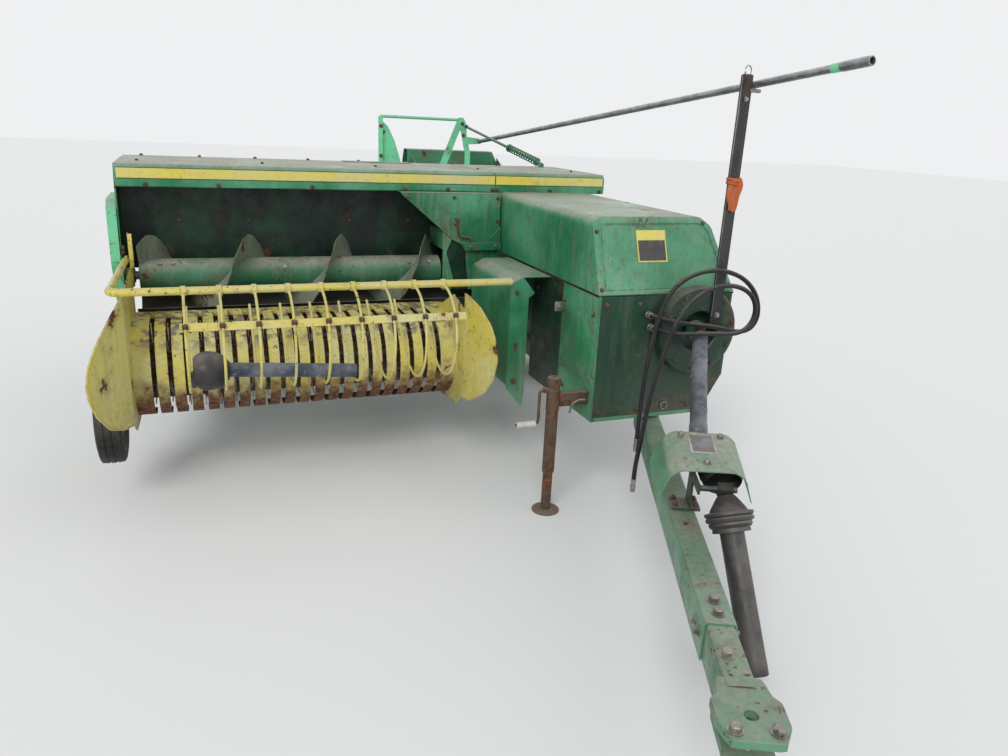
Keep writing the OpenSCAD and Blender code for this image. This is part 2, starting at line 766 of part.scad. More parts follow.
/* Bent pan behind the reel */
module pickup_pan() {
  color("brown")
    arc_x(pick_x0, reel_y, reel_z, 310, 93.5)
      translate([tine_r + 15, 0])
        square([sheet, pick_x1 - pick_x0]);
}

/* Outer end plate with its flare, upright and gauge wheel arm */
module outer_end() {
  color("yellow")
  difference() {
    union() {
      plate_x(pick_x0 - sheet, pick_x0, concat(end_lower, [[332, 670], [332, outer_top], [-289, outer_top]]));
      flare(pick_x0, -1, flare_lean_outer, flare_outer);
      plate_x(pick_x0 - sheet, pick_x0, [[330, 640], [330, 1094], [362, 1094], [370, 1000], [370, 934],
        [auger_y, auger_z + 48], [auger_y, auger_z - 48], [370, 834], [370, 640]]);
      rod_x(pick_x0 - sheet, pick_x0 + 5, auger_y, auger_z, 54);
      rod_x(pick_x0 - 41, pick_x0, 10, gauge_z + 90, 14);
      plate_x(pick_x0 - 41, pick_x0 - 31, [[-160, gauge_z - 20], [-120, gauge_z - 24], [30, gauge_z + 80],
        [26, gauge_z + 110], [-4, gauge_z + 110]]);
      rod_x(gauge_x - 40, pick_x0 - 31, -140, gauge_z, 10);
    }
    rod_x(pick_x0 - sheet - 1, pick_x0 + 1, reel_y, reel_z, 24 + run_gap);
    rod_x(pick_x0 - 40, pick_x0 + 40, guard_pivot_y, guard_pivot_z, 8 + run_gap);
    rod_x(pick_x0 - 10, pick_x0 + 10, auger_y, auger_z, boss_r + run_gap);
  }
}

/* Inner end plate with its flare and the guide slot */
module inner_end() {
  color("yellow")
  difference() {
    union() {
      plate_x(pick_x1, pick_x1 + sheet, concat(end_lower, [[330, 670], [262, 716], [240, 744], [60, 780],
        [-120, 860], [-289, 820]]));
      flare(pick_x1, 1, flare_lean_inner, flare_inner);
    }
    rod_x(pick_x1 - 1, pick_x1 + sheet + 1, reel_y, reel_z, 24 + run_gap);
    plate_x(pick_x1 - 1, pick_x1 + sheet + 1, guide_slot);
  }
}

/* Stripper bands, one bent strip between each pair of tines */
module one_band(x, w) {
  arc_x(x, reel_y, reel_z, 90, 190)
    translate([band_r - 2.5, 0])
      square([2.5, w]);
  box(x, x + w, reel_y, 222, reel_z + band_r - 2.5, reel_z + band_r);
}

module stripper_bands() {
  color("yellow") {
    one_band(pick_x0, tine_x0 - pick_x0 - 10);
    for (i = [0 : 1 : tine_count - 2])
      one_band(tine_x0 + tine_pitch * i + (tine_pitch - band_w) / 2, band_w);
    one_band(tine_x0 + tine_pitch * (tine_count - 1) + 10, pick_x1 - tine_x0 - tine_pitch * (tine_count - 1) - 10);
  }
}

/* Reel with four bars of spring tines */
reel_turn = 203.7;
tine_x0 = pick_x0 + tine_margin;
tine_pitch = (pick_x1 - pick_x0 - 2 * tine_margin) / (tine_count - 1);

module tine_reel() {
  color("grey") {
    rod_x(pick_x0 - 9, pick_x1 + 9, reel_y, reel_z, 24);
    for (k = [0 : 1 : 3])
      translate([0, reel_y, reel_z])
        rotate([reel_turn + 90 * k, 0, 0])
          translate([0, bar_r, 0]) {
            rod_x(pick_x0 + 12, pick_x1 - 12, 0, 0, 13);
            for (i = [0 : 1 : tine_count - 1])
              rod([tine_x0 + tine_pitch * i, 0, 0], [tine_x0 + tine_pitch * i, tine_r - bar_r, 0], tine_wire_r);
          }
    for (x = [pick_x0 + 14, -560, pick_x1 - 22])
      for (k = [0 : 1 : 1])
        translate([x, reel_y, reel_z])
          rotate([reel_turn + 90 * k, 0, 0])
            translate([0, -bar_r, -14])
              cube([8, 2 * bar_r, 28]);
  }
}

/* Windguard: pipe, arms, bar and bent rods */
rod_x0 = -1042;
rod_pitch = 133.3;
bend_y = -405;
bend_z = 763;
elbow_x = -1272;
elbow_r = 34;

module guard_rod(x) {
  arc_x(x, bend_y, bend_z, 83.7, 226.3)
    translate([guard_bend, 0])
      circle(r = guard_rod_r, $fn = 16);
  rod([x, bend_y + guard_bend * cos(310) - 4 * cos(40), bend_z + guard_bend * sin(310) - 4 * sin(40)],
    [x, bend_y + guard_bend * cos(310) + 330 * cos(40), bend_z + guard_bend * sin(310) + 330 * sin(40)],
    guard_rod_r + 0.4);
}

module windguard() {
  color("yellow") {
    rod_x(elbow_x - 4, pick_x1 + 193, guard_y, guard_z, guard_pipe_r);
    translate([elbow_x, guard_y + elbow_r, guard_z])
      rotate([0, 0, 180])
        rotate_extrude(angle = 90)
          translate([elbow_r, 0])
            circle(r = guard_pipe_r + 0.6, $fn = 32);
    rod([elbow_x - elbow_r, guard_y + elbow_r - 4, guard_z], [-1290, 300, guard_pivot_z], guard_pipe_r - 1);
    for (i = [0 : 1 : guard_rods - 1])
      guard_rod(rod_x0 + rod_pitch * i);
    translate([0, bend_y, bend_z])
      rotate([148, 0, 0])
        box(rod_x0 - 20, rod_x0 + rod_pitch * (guard_rods - 1) + 50, guard_bend - guard_rod_r - 3,
          guard_bend - guard_rod_r + 1, -17, 17);
    plate_x(pick_x0 - 22, pick_x0 - 10, [[286, guard_pivot_z - 13], [guard_pivot_y, guard_pivot_z - 17],
      [guard_pivot_y + 12, guard_pivot_z], [guard_pivot_y, guard_pivot_z + 17], [286, guard_pivot_z + 13]]);
    rod_x(pick_x0 - 12, pick_x0 + 6, guard_pivot_y, guard_pivot_z, 8);
    rod_x(pick_x0 + 5, pick_x0 + 11, guard_pivot_y, guard_pivot_z, 14);
  }
}

/* Gauge wheel at the pickup's outer end */
module gauge_tyre() {
  color("black")
    tyre(gauge_x, -140, gauge_z, gauge_r, 104, 100);
}

module gauge_rim() {
  color("silver")
  translate([gauge_x, -140, gauge_z])
    rotate([0, 90, 0])
      rotate_extrude()
        polygon([[100 - seat, -36], [100 - seat, 36], [90, 36], [40, 30], [24, 50], [10 + run_gap, 50],
          [10 + run_gap, -50], [24, -50], [40, -18], [90, -36]]);
}

/* Half of a drive shaft lying on the guard rods */
store_y = -405;
store_z = 640;

module stored_shaft() {
  color("black") {
    rod([-900, store_y, store_z - 2], [-370, store_y, bend_z - guard_bend + guard_rod_r + 30.3], 30);
    translate([-905, store_y, store_z])
      rotate([0, -90, 0])
        rotate_extrude()
          polygon([[0, -20], [32, -20], [55, 0], [70, 20], [79, 45], [81, 70], [76, 95], [64, 115],
            [52, 124], [0, 124]]);
    box(-1050, -1010, store_y - 16, store_y + 16, bend_z - guard_bend + guard_rod_r + 1, store_z);
  }
}

/* Tongue, modelled straight and swung about its pivot */
module swung() {
  translate([tongue_x, tongue_y, 0])
    rotate([0, 0, -tongue_swing])
      children();
}

beam_end = -tongue_len + 330;

module tongue() {
  color("green")
  swung()
    difference() {
      union() {
        box(-tongue_wide / 2, tongue_wide / 2, beam_end, 60, tongue_top - tongue_deep, tongue_top);
        rod_z(tongue_top, rail_z0, 0, 0, 25);
        rod_z(tongue_top - tongue_deep, tongue_top, 0, 60, tongue_wide / 2);
        rod_z(tongue_top, rail_z0 - 26, 0, 0, 44);
      }
      box(-tongue_wide / 2 + 5, tongue_wide / 2 - 5, beam_end - 1, -120, tongue_top - tongue_deep + 5,
        tongue_top - 5);
    }
}

/* Hitch: bolted bracket with the drawbar plate */
module hitch() {
  color("green")
  swung()
    difference() {
      union() {
        box(-40, 40, -tongue_len + 90, beam_end + 120, tongue_top - tongue_deep + 5, tongue_top - 5);
        plate_z(tongue_top - 30, tongue_top - 8, [[-60, -tongue_len + 130], [60, -tongue_len + 130],
          [84, -tongue_len + 40], [84, -tongue_len - 40], [60, -tongue_len - 84], [-60, -tongue_len - 84],
          [-84, -tongue_len - 40], [-84, -tongue_len + 40]]);
        plate_z(tongue_top - tongue_deep + 8, tongue_top - tongue_deep + 30, [[-60, -tongue_len + 130],
          [60, -tongue_len + 130], [60, -tongue_len - 60], [-60, -tongue_len - 60]]);
      }
      translate([0, -tongue_len, tongue_top - tongue_deep - 1])
        cylinder(h = tongue_deep + 2, r = hitch_hole_r);
    }
}

/* Pedestal and bell shield on the tongue */
ped_y = -1080;
mid_y = -1200;
mid_z = 540;

module pedestal() {
  color("green")
  swung() {
    box(-40, 60, ped_y - 40, ped_y + 40, tongue_top + seat, tongue_top + 12);
    plate_x(20, 28, [[ped_y - 36, tongue_top + 12], [ped_y + 36, tongue_top + 12], [ped_y + 50, 655],
      [ped_y - 50, 655]]);
    box(-20, 110, ped_y - 50, ped_y + 50, 655, 663);
    box(20, 28, mid_y - 16, ped_y + 10, mid_z - 18, mid_z + 18);
    rod_x(27, 150, mid_y, mid_z, 10);
  }
}

module bell_shield() {
  color("green")
  swung()
    translate([45, 0, 0])
      plate_y(ped_y - 150, ped_y + 60, [[-172, 520], [-122, 640], [-90, 666], [90, 666], [122, 640], [158, 540],
        [154, 538], [119, 638], [89, 663], [-89, 663], [-119, 638], [-168, 518]]);
}

/* Rear drive shaft in its guard tube */
uj = [drive_x, -905, drive_z];
ped_top = [636, -1520, 585];

module pto_rear() {
  color("grey") {
    rod(uj, ped_top, 20);
    rod(uj + 0.06 * (ped_top - uj), uj + 0.97 * (ped_top - uj), 34);
    rod_z(drive_z - 30, drive_z + 30, drive_x, -905, 22);
  }
}

/* Front guard tube hanging from the pedestal */
mid_a = [110, mid_y, mid_z];
mid_b = [214, -1485, 42];

module pto_middle() {
  color("black")
  swung()
    difference() {
      union() {
        rod_x(mid_a[0] - 24, mid_a[0] + 24, mid_y, mid_z, 24);
        rod(mid_a, mid_b, 22);
        rod(mid_a + 0.12 * (mid_b - mid_a), mid_b, 40);
        rod(mid_a + 0.12 * (mid_b - mid_a), mid_a + 0.24 * (mid_b - mid_a), 80);
      }
      rod_x(mid_a[0] - 30, mid_a[0] + 30, mid_y, mid_z, 10 + run_gap);
    }
}

/* Jack with leg and crank */
jack_x = 408;
jack_y = -783;

module jack_tube() {
  color("brown")
  difference() {
    union() {
      rod_z(190, 627, jack_x, jack_y, 27);
      rod_z(600, 632, jack_x, jack_y, 31);
      box(jack_x + 20, shield_x0 - seat, jack_y - 20, jack_y + 20, 500, 560);
      rod_x(jack_x - 48, jack_x - 20, jack_y, 575, 12);
    }
    rod_z(189, 600, jack_x, jack_y, 23);
  }
}

module jack_leg() {
  color("brown") {
    rod_z(12, 460, jack_x, jack_y, 22);
    rod_z(0, 12, jack_x, jack_y, 62);
  }
}

module jack_crank() {
  color("grey") {
    rod_x(jack_x - 64, jack_x - 48 - seat, jack_y, 575, 7);
    rod([jack_x - 64, jack_y, 580], [jack_x - 64, jack_y, 425], 7);
    rod_x(jack_x - 170, jack_x - 60, jack_y, 426, 7);
    rod_x(jack_x - 166, jack_x - 76, jack_y, 426, 14);
  }
}

/* Hoses swept along their route points */
hose_r = 10;
hose_a_route = [[800, -850, 905], [800, -862, 905], [810, -897, 904], [840, -924, 899], [882, -936, 890],
  [940, -942, 880], [1000, -944, 873], [1060, -946, 866], [1120, -946, 852], [1180, -946, 836], [1236, -946, 832],
  [1278, -946, 850], [1300, -946, 895], [1294, -946, 950], [1268, -948, 1002], [1228, -950, 1044],
  [1180, -952, 1076], [1124, -954, 1098], [1062, -956, 1110], [1000, -956, 1110], [942, -954, 1098],
  [890, -950, 1074], [850, -946, 1038], [822, -942, 992], [802, -938, 938], [788, -936, 875], [775, -938, 805],
  [762, -945, 735], [752, -952, 665], [744, -958, 595], [737, -964, 525], [732, -970, 465], [730, -972, 428],
  [730, -972, 390]];
hose_b_route = [[816, -850, 850], [816, -900, 850], [826, -948, 850], [858, -982, 851], [906, -998, 852],
  [960, -1002, 852], [1020, -1004, 850], [1080, -1004, 845], [1140, -1004, 842], [1192, -1004, 855],
  [1226, -1004, 892], [1236, -1004, 942], [1220, -1004, 990], [1182, -1004, 1026], [1132, -1004, 1048],
  [1074, -1004, 1056], [1014, -1004, 1050], [958, -1004, 1030], [908, -1004, 998], [868, -1004, 954],
  [838, -1004, 900], [814, -1004, 838], [794, -1004, 770], [778, -1004, 700], [764, -1004, 630],
  [752, -1004, 560], [742, -1004, 490], [733, -1004, 420], [725, -1004, 350], [718, -1004, 290],
  [716, -1004, 250], [716, -1004, 215]];

function unit(v) = v / norm(v);
function way_at(p, i) = unit(p[min(i + 1, len(p) - 1)] - p[max(i - 1, 0)]);

module hose(route, r, sides) {
  rings = [for (i = [0 : 1 : len(route) - 1])
    let (w = way_at(route, i))
    let (u = unit(cross(w, [0, 1, 0.01])))
    let (v = cross(w, u))
    for (k = [0 : 1 : sides - 1])
      route[i] + r * cos(360 * k / sides) * u + r * sin(360 * k / sides) * v];
  walls = [for (i = [0 : 1 : len(route) - 2])
    for (k = [0 : 1 : sides - 1])
      [i * sides + k, i * sides + (k + 1) % sides, (i + 1) * sides + (k + 1) % sides, (i + 1) * sides + k]];
  first = [for (k = [sides - 1 : -1 : 0]) k];
  last = [for (k = [0 : 1 : sides - 1]) (len(route) - 1) * sides + k];
  polyhedron(points = rings, faces = concat([first], walls, [last]), convexity = 6);
}

module hose_a() {
  color("black")
    hose(hose_a_route, hose_r, 10);
}

module hose_b() {
  color("black")
    hose(hose_b_route, hose_r, 10);
}

module coupler(p) {
  rod_z(p[2] - 62, p[2], p[0], p[1], 12);
}

module coupler_a() {
  color("silver")
    coupler(hose_a_route[len(hose_a_route) - 1]);
}

module coupler_b() {
  color("silver")
    coupler(hose_b_route[len(hose_b_route) - 1]);
}

main_frame();
bale_chamber();
auger_housing();
hood();
feeder_panel();
upper_drive_shield();
lower_drive_shield();
box_guard();
end_guard();
knotter_stack();
rear_arm();
spring_rod();
arm_spring();
post();
control_rod();
density_rails();
twine_box();
twine_lid();
star_wheel();
needle_yoke();
left_tyre();
left_rim();
right_tyre();
right_rim();
auger_tube();
auger_flights();
flywheel();
pickup_frame();
pickup_pan();
outer_end();
inner_end();
auger_shaft();
auger_boss();
stripper_bands();
tine_reel();
windguard();
gauge_tyre();
gauge_rim();
stored_shaft();
tongue();
hitch();
pedestal();
bell_shield();
pto_rear();
pto_middle();
jack_tube();
jack_leg();
jack_crank();
hose_a();
hose_b();
coupler_a();
coupler_b();
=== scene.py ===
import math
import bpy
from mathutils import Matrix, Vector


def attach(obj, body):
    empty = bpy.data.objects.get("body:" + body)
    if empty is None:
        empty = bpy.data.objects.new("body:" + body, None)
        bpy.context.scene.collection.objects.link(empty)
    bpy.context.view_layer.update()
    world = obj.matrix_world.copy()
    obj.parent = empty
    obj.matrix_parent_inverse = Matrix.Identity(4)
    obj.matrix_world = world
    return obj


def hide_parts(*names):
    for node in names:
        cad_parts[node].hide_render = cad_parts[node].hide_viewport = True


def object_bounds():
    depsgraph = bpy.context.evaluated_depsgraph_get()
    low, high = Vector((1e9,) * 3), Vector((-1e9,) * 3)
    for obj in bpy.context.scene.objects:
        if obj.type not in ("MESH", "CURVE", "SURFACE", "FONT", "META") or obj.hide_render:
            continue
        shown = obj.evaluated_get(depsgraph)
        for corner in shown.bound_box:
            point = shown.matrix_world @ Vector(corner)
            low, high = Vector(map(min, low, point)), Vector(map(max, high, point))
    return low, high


bl_info = {"name": "Square baler dressing", "version": (1, 0, 0), "blender": (4, 5, 0),
    "location": "3D View > Sidebar > Baler",
    "description": "Dresses the packed square baler with paint, rust, hoses, tines and fittings",
    "category": "Object",}

import bmesh
import bpy
from mathutils import Matrix, Vector, noise

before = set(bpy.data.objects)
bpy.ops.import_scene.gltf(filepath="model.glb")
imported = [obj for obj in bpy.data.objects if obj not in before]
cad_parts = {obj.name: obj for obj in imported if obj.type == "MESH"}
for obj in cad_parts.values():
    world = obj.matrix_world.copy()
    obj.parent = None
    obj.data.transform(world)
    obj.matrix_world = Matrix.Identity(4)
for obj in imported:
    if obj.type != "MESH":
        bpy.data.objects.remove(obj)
CAD_LOW, CAD_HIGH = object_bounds()
MM = 0.001
FLOOR_REACH, FLOOR_GAP = 40.0, 0.001
DENT_SEED = 1795764864

# Places that the construction gives, in metres
AUGER_Y, AUGER_Z = 0.410, 0.884
AUGER_TUBE_R, AUGER_PITCH = 0.077, 0.452
FLIGHT_X0, FLIGHT_X1, FLIGHT_PHASE = -1.236, 0.234, 125.3
REEL_Y, REEL_Z, REEL_TURN = 0.040, 0.533, 203.7
BAR_R, TINE_R, TINE_COUNT = 0.130, 0.247, 20
PICK_X0, PICK_X1, TINE_MARGIN = -1.271, 0.162, 0.083
GUARD_Y, GUARD_Z = -0.383, 0.968
BEND_Y, BEND_Z, GUARD_BEND = -0.405, 0.763, 0.199
ROD_X0, ROD_PITCH, ROD_COUNT = -1.042, 0.1333, 9
HOOD_X0, HOOD_X1, HOOD_Y0, HOOD_TOP, HOOD_LOW = -1.309, 1.215, 0.410, 1.401, 1.295
HOOD_DEEP, HOOD_FOLD, HOOD_SEAM = 0.730, 1.372, 0.554
SHIELD_X0, SHIELD_X1, SEAM_Z, SHIELD_Z0, SHIELD_Y = 0.571, 1.240, 0.985, 0.427, -0.838
SHIELD_REAR, SHIELD_STEP = -0.141, -0.480
UPPER_LEAN, UPPER_FRONT, UPPER_REAR = math.tan(math.radians(21)), -0.820, 0.4095
DRIVE_X, DRIVE_Z = 1.035, 0.830
AXLE_Y, LEFT_X, LEFT_R, RIGHT_X, RIGHT_R = 1.150, 1.326, 0.343, -0.900, 0.320
GAUGE_X, GAUGE_Y, GAUGE_Z, GAUGE_R = -1.372, -0.140, 0.376, 0.196
TONGUE = Vector((0.981, -0.620, 0.0))
TONGUE_SWING = math.radians(-24.5)
TONGUE_LEN, TONGUE_TOP, TONGUE_DEEP, TONGUE_WIDE = 2.092, 0.412, 0.120, 0.090
PEDESTAL_Y, SADDLE_REAR, SADDLE_LEAN = -1.080, -1.020, 0.25
JACK_X, JACK_Y = 0.408, -0.783
POST_X, POST_Y = 1.104, -0.905
CHAMBER_X, CHAMBER_W, CHAMBER_FLOOR, CHAMBER_H = 0.875, 0.456, 0.680, 0.356
CHAMBER_REAR, DENSITY_Y = 2.660, 2.550
ARM_Y, KNOTTER_Y0, KNOTTER_Y1 = 1.960, 1.800, 1.840
TWINE_X0, TWINE_X1, TWINE_Y0, TWINE_Y1 = -0.2610, 0.5410, 1.2390, 1.8405

HOSE_A = [(800, -850, 905), (800, -862, 905), (810, -897, 904), (840, -924, 899), (882, -936, 890),
    (940, -942, 880), (1000, -944, 873), (1060, -946, 866), (1120, -946, 852), (1180, -946, 836),
    (1236, -946, 832), (1278, -946, 850), (1300, -946, 895), (1294, -946, 950), (1268, -948, 1002),
    (1228, -950, 1044), (1180, -952, 1076), (1124, -954, 1098), (1062, -956, 1110), (1000, -956, 1110),
    (942, -954, 1098), (890, -950, 1074), (850, -946, 1038), (822, -942, 992), (802, -938, 938),
    (788, -936, 875), (775, -938, 805), (762, -945, 735), (752, -952, 665), (744, -958, 595),
    (737, -964, 525), (732, -970, 465), (730, -972, 428), (730, -972, 390)]
HOSE_B = [(816, -850, 850), (816, -900, 850), (826, -948, 850), (858, -982, 851), (906, -998, 852),
    (960, -1002, 852), (1020, -1004, 850), (1080, -1004, 845), (1140, -1004, 842), (1192, -1004, 855),
    (1226, -1004, 892), (1236, -1004, 942), (1220, -1004, 990), (1182, -1004, 1026), (1132, -1004, 1048),
    (1074, -1004, 1056), (1014, -1004, 1050), (958, -1004, 1030), (908, -1004, 998), (868, -1004, 954),
    (838, -1004, 900), (814, -1004, 838), (794, -1004, 770), (778, -1004, 700), (764, -1004, 630),
    (752, -1004, 560), (742, -1004, 490), (733, -1004, 420), (725, -1004, 350), (718, -1004, 290),
    (716, -1004, 250), (716, -1004, 215)]


class BalerPaint(bpy.types.PropertyGroup):
    """Colours of the paints and of what lies on them; the dark green also serves as painted shade."""

    green: bpy.props.FloatVectorProperty(name="Green", description="Main paint", subtype="COLOR",
        default=(0.016, 0.180, 0.075))
    faded_green: bpy.props.FloatVectorProperty(name="Faded green",
        description="Main paint where the sun bleached it", subtype="COLOR", default=(0.095, 0.330, 0.185))
    # Near black: dark paint, and painted shade inside the feeding mouth, the auger housing and the lower
    # shield; also the real border of the stripe.
    dark_green_and_shade: bpy.props.FloatVectorProperty(name="Dark green",
        description="Paint inside the feeding mouth", subtype="COLOR", default=(0.004, 0.016, 0.010))
    yellow: bpy.props.FloatVectorProperty(name="Yellow",
        description="Paint of the pickup and the windguard", subtype="COLOR", default=(0.640, 0.540, 0.085))
    faded_yellow: bpy.props.FloatVectorProperty(name="Faded yellow",
        description="Yellow where it went chalky", subtype="COLOR", default=(0.620, 0.570, 0.240))
    rust: bpy.props.FloatVectorProperty(name="Rust", description="Rust where the paint is gone",
        subtype="COLOR", default=(0.160, 0.062, 0.026))
    dark_rust: bpy.props.FloatVectorProperty(name="Dark rust",
        description="Old rust in the middle of a patch", subtype="COLOR", default=(0.050, 0.026, 0.016))
    dust: bpy.props.FloatVectorProperty(name="Dust", description="Dust on faces that look up",
        subtype="COLOR", default=(0.400, 0.355, 0.300))
    wear: bpy.props.FloatProperty(name="Edge wear", description="Reach of the worn paint from an edge",
        default=0.005, min=0.0, unit="LENGTH")


class BalerParts(bpy.types.PropertyGroup):
    """Sizes of what the dressing adds."""

    sheet: bpy.props.FloatProperty(name="Sheet", description="Thickness of the folded covers",
        default=0.003, unit="LENGTH")
    stripe: bpy.props.FloatProperty(name="Stripe", description="Height of the hood's stripe", default=0.045,
        unit="LENGTH")
    hose: bpy.props.FloatProperty(name="Hose", description="Outer diameter of the hydraulic hoses",
        default=0.020, unit="LENGTH")
    tine_wire: bpy.props.FloatProperty(name="Tine wire", description="Radius of the pickup's spring wire",
        default=0.0030, unit="LENGTH")
    tread: bpy.props.FloatProperty(name="Tread", description="Depth of the tyre grooves", default=0.009,
        unit="LENGTH")


class BalerStudio(bpy.types.PropertyGroup):
    """Camera and light."""

    eye: bpy.props.FloatVectorProperty(name="Eye", description="Place of the camera", subtype="TRANSLATION",
        default=(-0.985, -3.64, 1.65))
    yaw: bpy.props.FloatProperty(name="Yaw", description="Turn of the view", default=22.106)
    pitch: bpy.props.FloatProperty(name="Pitch", description="Downward lean of the view", default=18.054)
    roll: bpy.props.FloatProperty(name="Roll", description="Roll of the view", default=2.816)
    lens: bpy.props.FloatProperty(name="Lens", description="Focal length for a 36 mm sensor", default=27.77)
    light: bpy.props.FloatProperty(name="Light", description="Strength of the lamps", default=1.0)


# Plain mesh work: every function adds to an open bmesh, in the frame's metres


def axes_across(way):
    """Two directions square to a way and to each other."""
    way = Vector(way).normalized()
    side = way.cross(Vector((0, 0, 1)))
    if side.length < 0.05:
        side = way.cross(Vector((0, 1, 0)))
    side.normalize()
    return side, side.cross(way).normalized()


def join_rings(bm, rings, ends=True, closed=False):
    """Skins neighbouring rings of vertices with quads."""
    count = len(rings[0])
    pairs = list(zip(rings, rings[1:]))
    if closed:
        pairs.append((rings[-1], rings[0]))
    for a, b in pairs:
        for k in range(count):
            n = (k + 1) % count
            bm.faces.new((a[k], a[n], b[n], b[k]))
    if ends and not closed:
        bm.faces.new(list(reversed(rings[0])))
        bm.faces.new(rings[-1])


def tube(bm, path, radius, sides=12):
    """A round rod or pipe, carried along a path without twist."""
    path = [Vector(p) for p in path]
    before = (path[1] - path[0]).normalized()
    side, over = axes_across(path[1] - path[0])
    step = 2 * math.pi / sides
    section = [(radius * math.cos(k * step), radius * math.sin(k * step)) for k in range(sides)]
    rings = []
    for i, p in enumerate(path):
        way = (path[min(i + 1, len(path) - 1)] - path[max(i - 1, 0)]).normalized()
        turn = before.rotation_difference(way)
        side = turn @ side
        over = turn @ over
        before = way
        rings.append([bm.verts.new(p + side * a + over * b) for a, b in section])
    join_rings(bm, rings)


def prism(bm, outline, axis, low, high, cuts=1):
    """A closed outline drawn out along an axis."""
    rings = []
    for i in range(cuts + 1):
        along = low + (high - low) * (i / cuts)
        spots = {"x": [(along, a, b) for a, b in outline], "y": [(a, along, b) for a, b in outline],
                 "z": [(a, b, along) for a, b in outline]}[axis]
        rings.append([bm.verts.new(spot) for spot in spots])
    join_rings(bm, rings)
    return rings


def soften(points, radius, closed=False, steps=5):
    """Rounds the corners of a flat line; radius is one number or one for each point."""
    out = []
    count = len(points)
    for i, p in enumerate(points):
        r = radius[i] if isinstance(radius, (list, tuple)) else radius
        if r <= 0 or (not closed and i in (0, count - 1)):
            out.append(tuple(p))
            continue
        here = Vector(p)
        back = Vector(points[i - 1]) - here
        on = Vector(points[(i + 1) % count]) - here
        half = back.angle(on) / 2
        reach = min(r / max(math.tan(half), 1e-4), back.length * 0.49, on.length * 0.49)
        r = reach * math.tan(half)
        middle = here + (back.normalized() + on.normalized()).normalized() * (r / math.sin(half))
        first = here + back.normalized() * reach - middle
        last = here + on.normalized() * reach - middle
        bend = first.angle_signed(last)
        for k in range(steps + 1):
            c, s = math.cos(-bend * k / steps), math.sin(-bend * k / steps)
            out.append((middle.x + first.x * c - first.y * s, middle.y + first.x * s + first.y * c))
    return out


def densify(points, longest):
    """Splits the long stretches of a line, so that a dent can bend them."""
    out = [points[0]]
    for a, b in zip(points, points[1:]):
        far = math.hypot(b[0] - a[0], b[1] - a[1])
        parts = max(1, int(math.ceil(far / longest)))
        for k in range(1, parts + 1):
            out.append((a[0] + (b[0] - a[0]) * k / parts, a[1] + (b[1] - a[1]) * k / parts))
    return out


def folded(points, thick, radius=0.0, longest=0.0, steps=5):
    """The closed outline of a bent sheet, thick / 2 to each side of a line."""
    line = soften(points, radius, steps=steps) if radius else [tuple(p) for p in points]
    if longest:
        line = densify(line, longest)
    left, right = [], []
    for i, p in enumerate(line):
        a = Vector(line[max(i - 1, 0)])
        b = Vector(line[min(i + 1, len(line) - 1)])
        here = Vector(p)
        into = (here - a).normalized() if i else (b - here).normalized()
        out = (b - here).normalized() if i < len(line) - 1 else into
        middle = (into + out).normalized()
        across = Vector((-middle.y, middle.x))
        grow = 1 / max(0.35, across.dot(Vector((-into.y, into.x))))
        left.append(tuple(here + across * thick / 2 * grow))
        right.append(tuple(here - across * thick / 2 * grow))
    return left + right[::-1]


def turned(bm, profile, origin, axis, sides=32, ends=True):
    """A profile of (radius, along) turned about an axis through origin."""
    origin = Vector(origin)
    way = Vector(axis).normalized()
    side, over = axes_across(way)
    rings = []
    for r, z in profile:
        ring = []
        for k in range(sides):
            turn = 2 * math.pi * k / sides
            ring.append(bm.verts.new(origin + way * z + (side * math.cos(turn) + over * math.sin(turn)) * r))
        rings.append(ring)
    join_rings(bm, rings, ends)
    return rings


def turned_ring(bm, profile, origin, axis, sides=32):
    """A closed profile of (radius, along) turned about an axis: a tyre, a bush."""
    rows = turned(bm, list(profile) + [profile[0]], origin, axis, sides, ends=False)
    for a, b in zip(rows[0], rows[-1]):
        bmesh.ops.pointmerge(bm, verts=[a, b], merge_co=a.co)


def block(bm, low, high, bevel=0.0015):
    """A plate or bar with broken edges."""
    low = Vector(low)
    high = Vector(high)
    made = bmesh.ops.create_cube(bm, size=1.0)
    for v in made["verts"]:
        v.co = Vector(tuple(low[i] + (high[i] - low[i]) * (v.co[i] + 0.5) for i in range(3)))
    if bevel:
        edges = list(dict.fromkeys(e for v in made["verts"] for e in v.link_edges))
        bmesh.ops.bevel(bm, geom=edges, offset=bevel, segments=2, affect="EDGES", profile=0.5)


def bolt(bm, at, way, size, shank=0.0, turn=0.3):
    """A hexagon head on its washer, with an optional shank end beyond a nut."""
    at = Vector(at)
    way = Vector(way).normalized()
    hexagon = size / math.sqrt(3)
    turned(bm, [(size * 0.30, 0), (size * 0.74, 0), (size * 0.74, size * 0.10), (size * 0.30, size * 0.11)],
        at, way, 16)
    side, over = axes_across(way)
    rows = []
    for grow, up in ((1.0, 0.10), (1.0, 0.58), (0.86, 0.68), (0.4, 0.70)):
        row = []
        for k in range(6):
            angle = turn + math.pi * k / 3
            flat = side * math.cos(angle) + over * math.sin(angle)
            row.append(bm.verts.new(at + way * up * size + flat * hexagon * grow))
        rows.append(row)
    join_rings(bm, rows)
    if shank:
        turned(bm, [(size * 0.3, size * 0.6), (size * 0.3, size * 0.6 + shank),
            (size * 0.22, size * 0.66 + shank)], at, way, 10)


def coil(bm, start, end, radius, wire, turns, sides, per_turn):
    """A coil spring between two points."""
    start = Vector(start)
    end = Vector(end)
    way = (end - start).normalized()
    side, over = axes_across(way)
    far = (end - start).length
    count = int(turns * per_turn)
    path = []
    for i in range(count + 1):
        share = i / count
        turn = 2 * math.pi * i / per_turn
        path.append(start + way * far * share + (side * math.cos(turn) + over * math.sin(turn)) * radius)
    tube(bm, path, wire, sides)


def about(x, y, z, radius, angle):
    """A point on a circle that stands across X."""
    return Vector((x, y + radius * math.cos(angle), z + radius * math.sin(angle)))


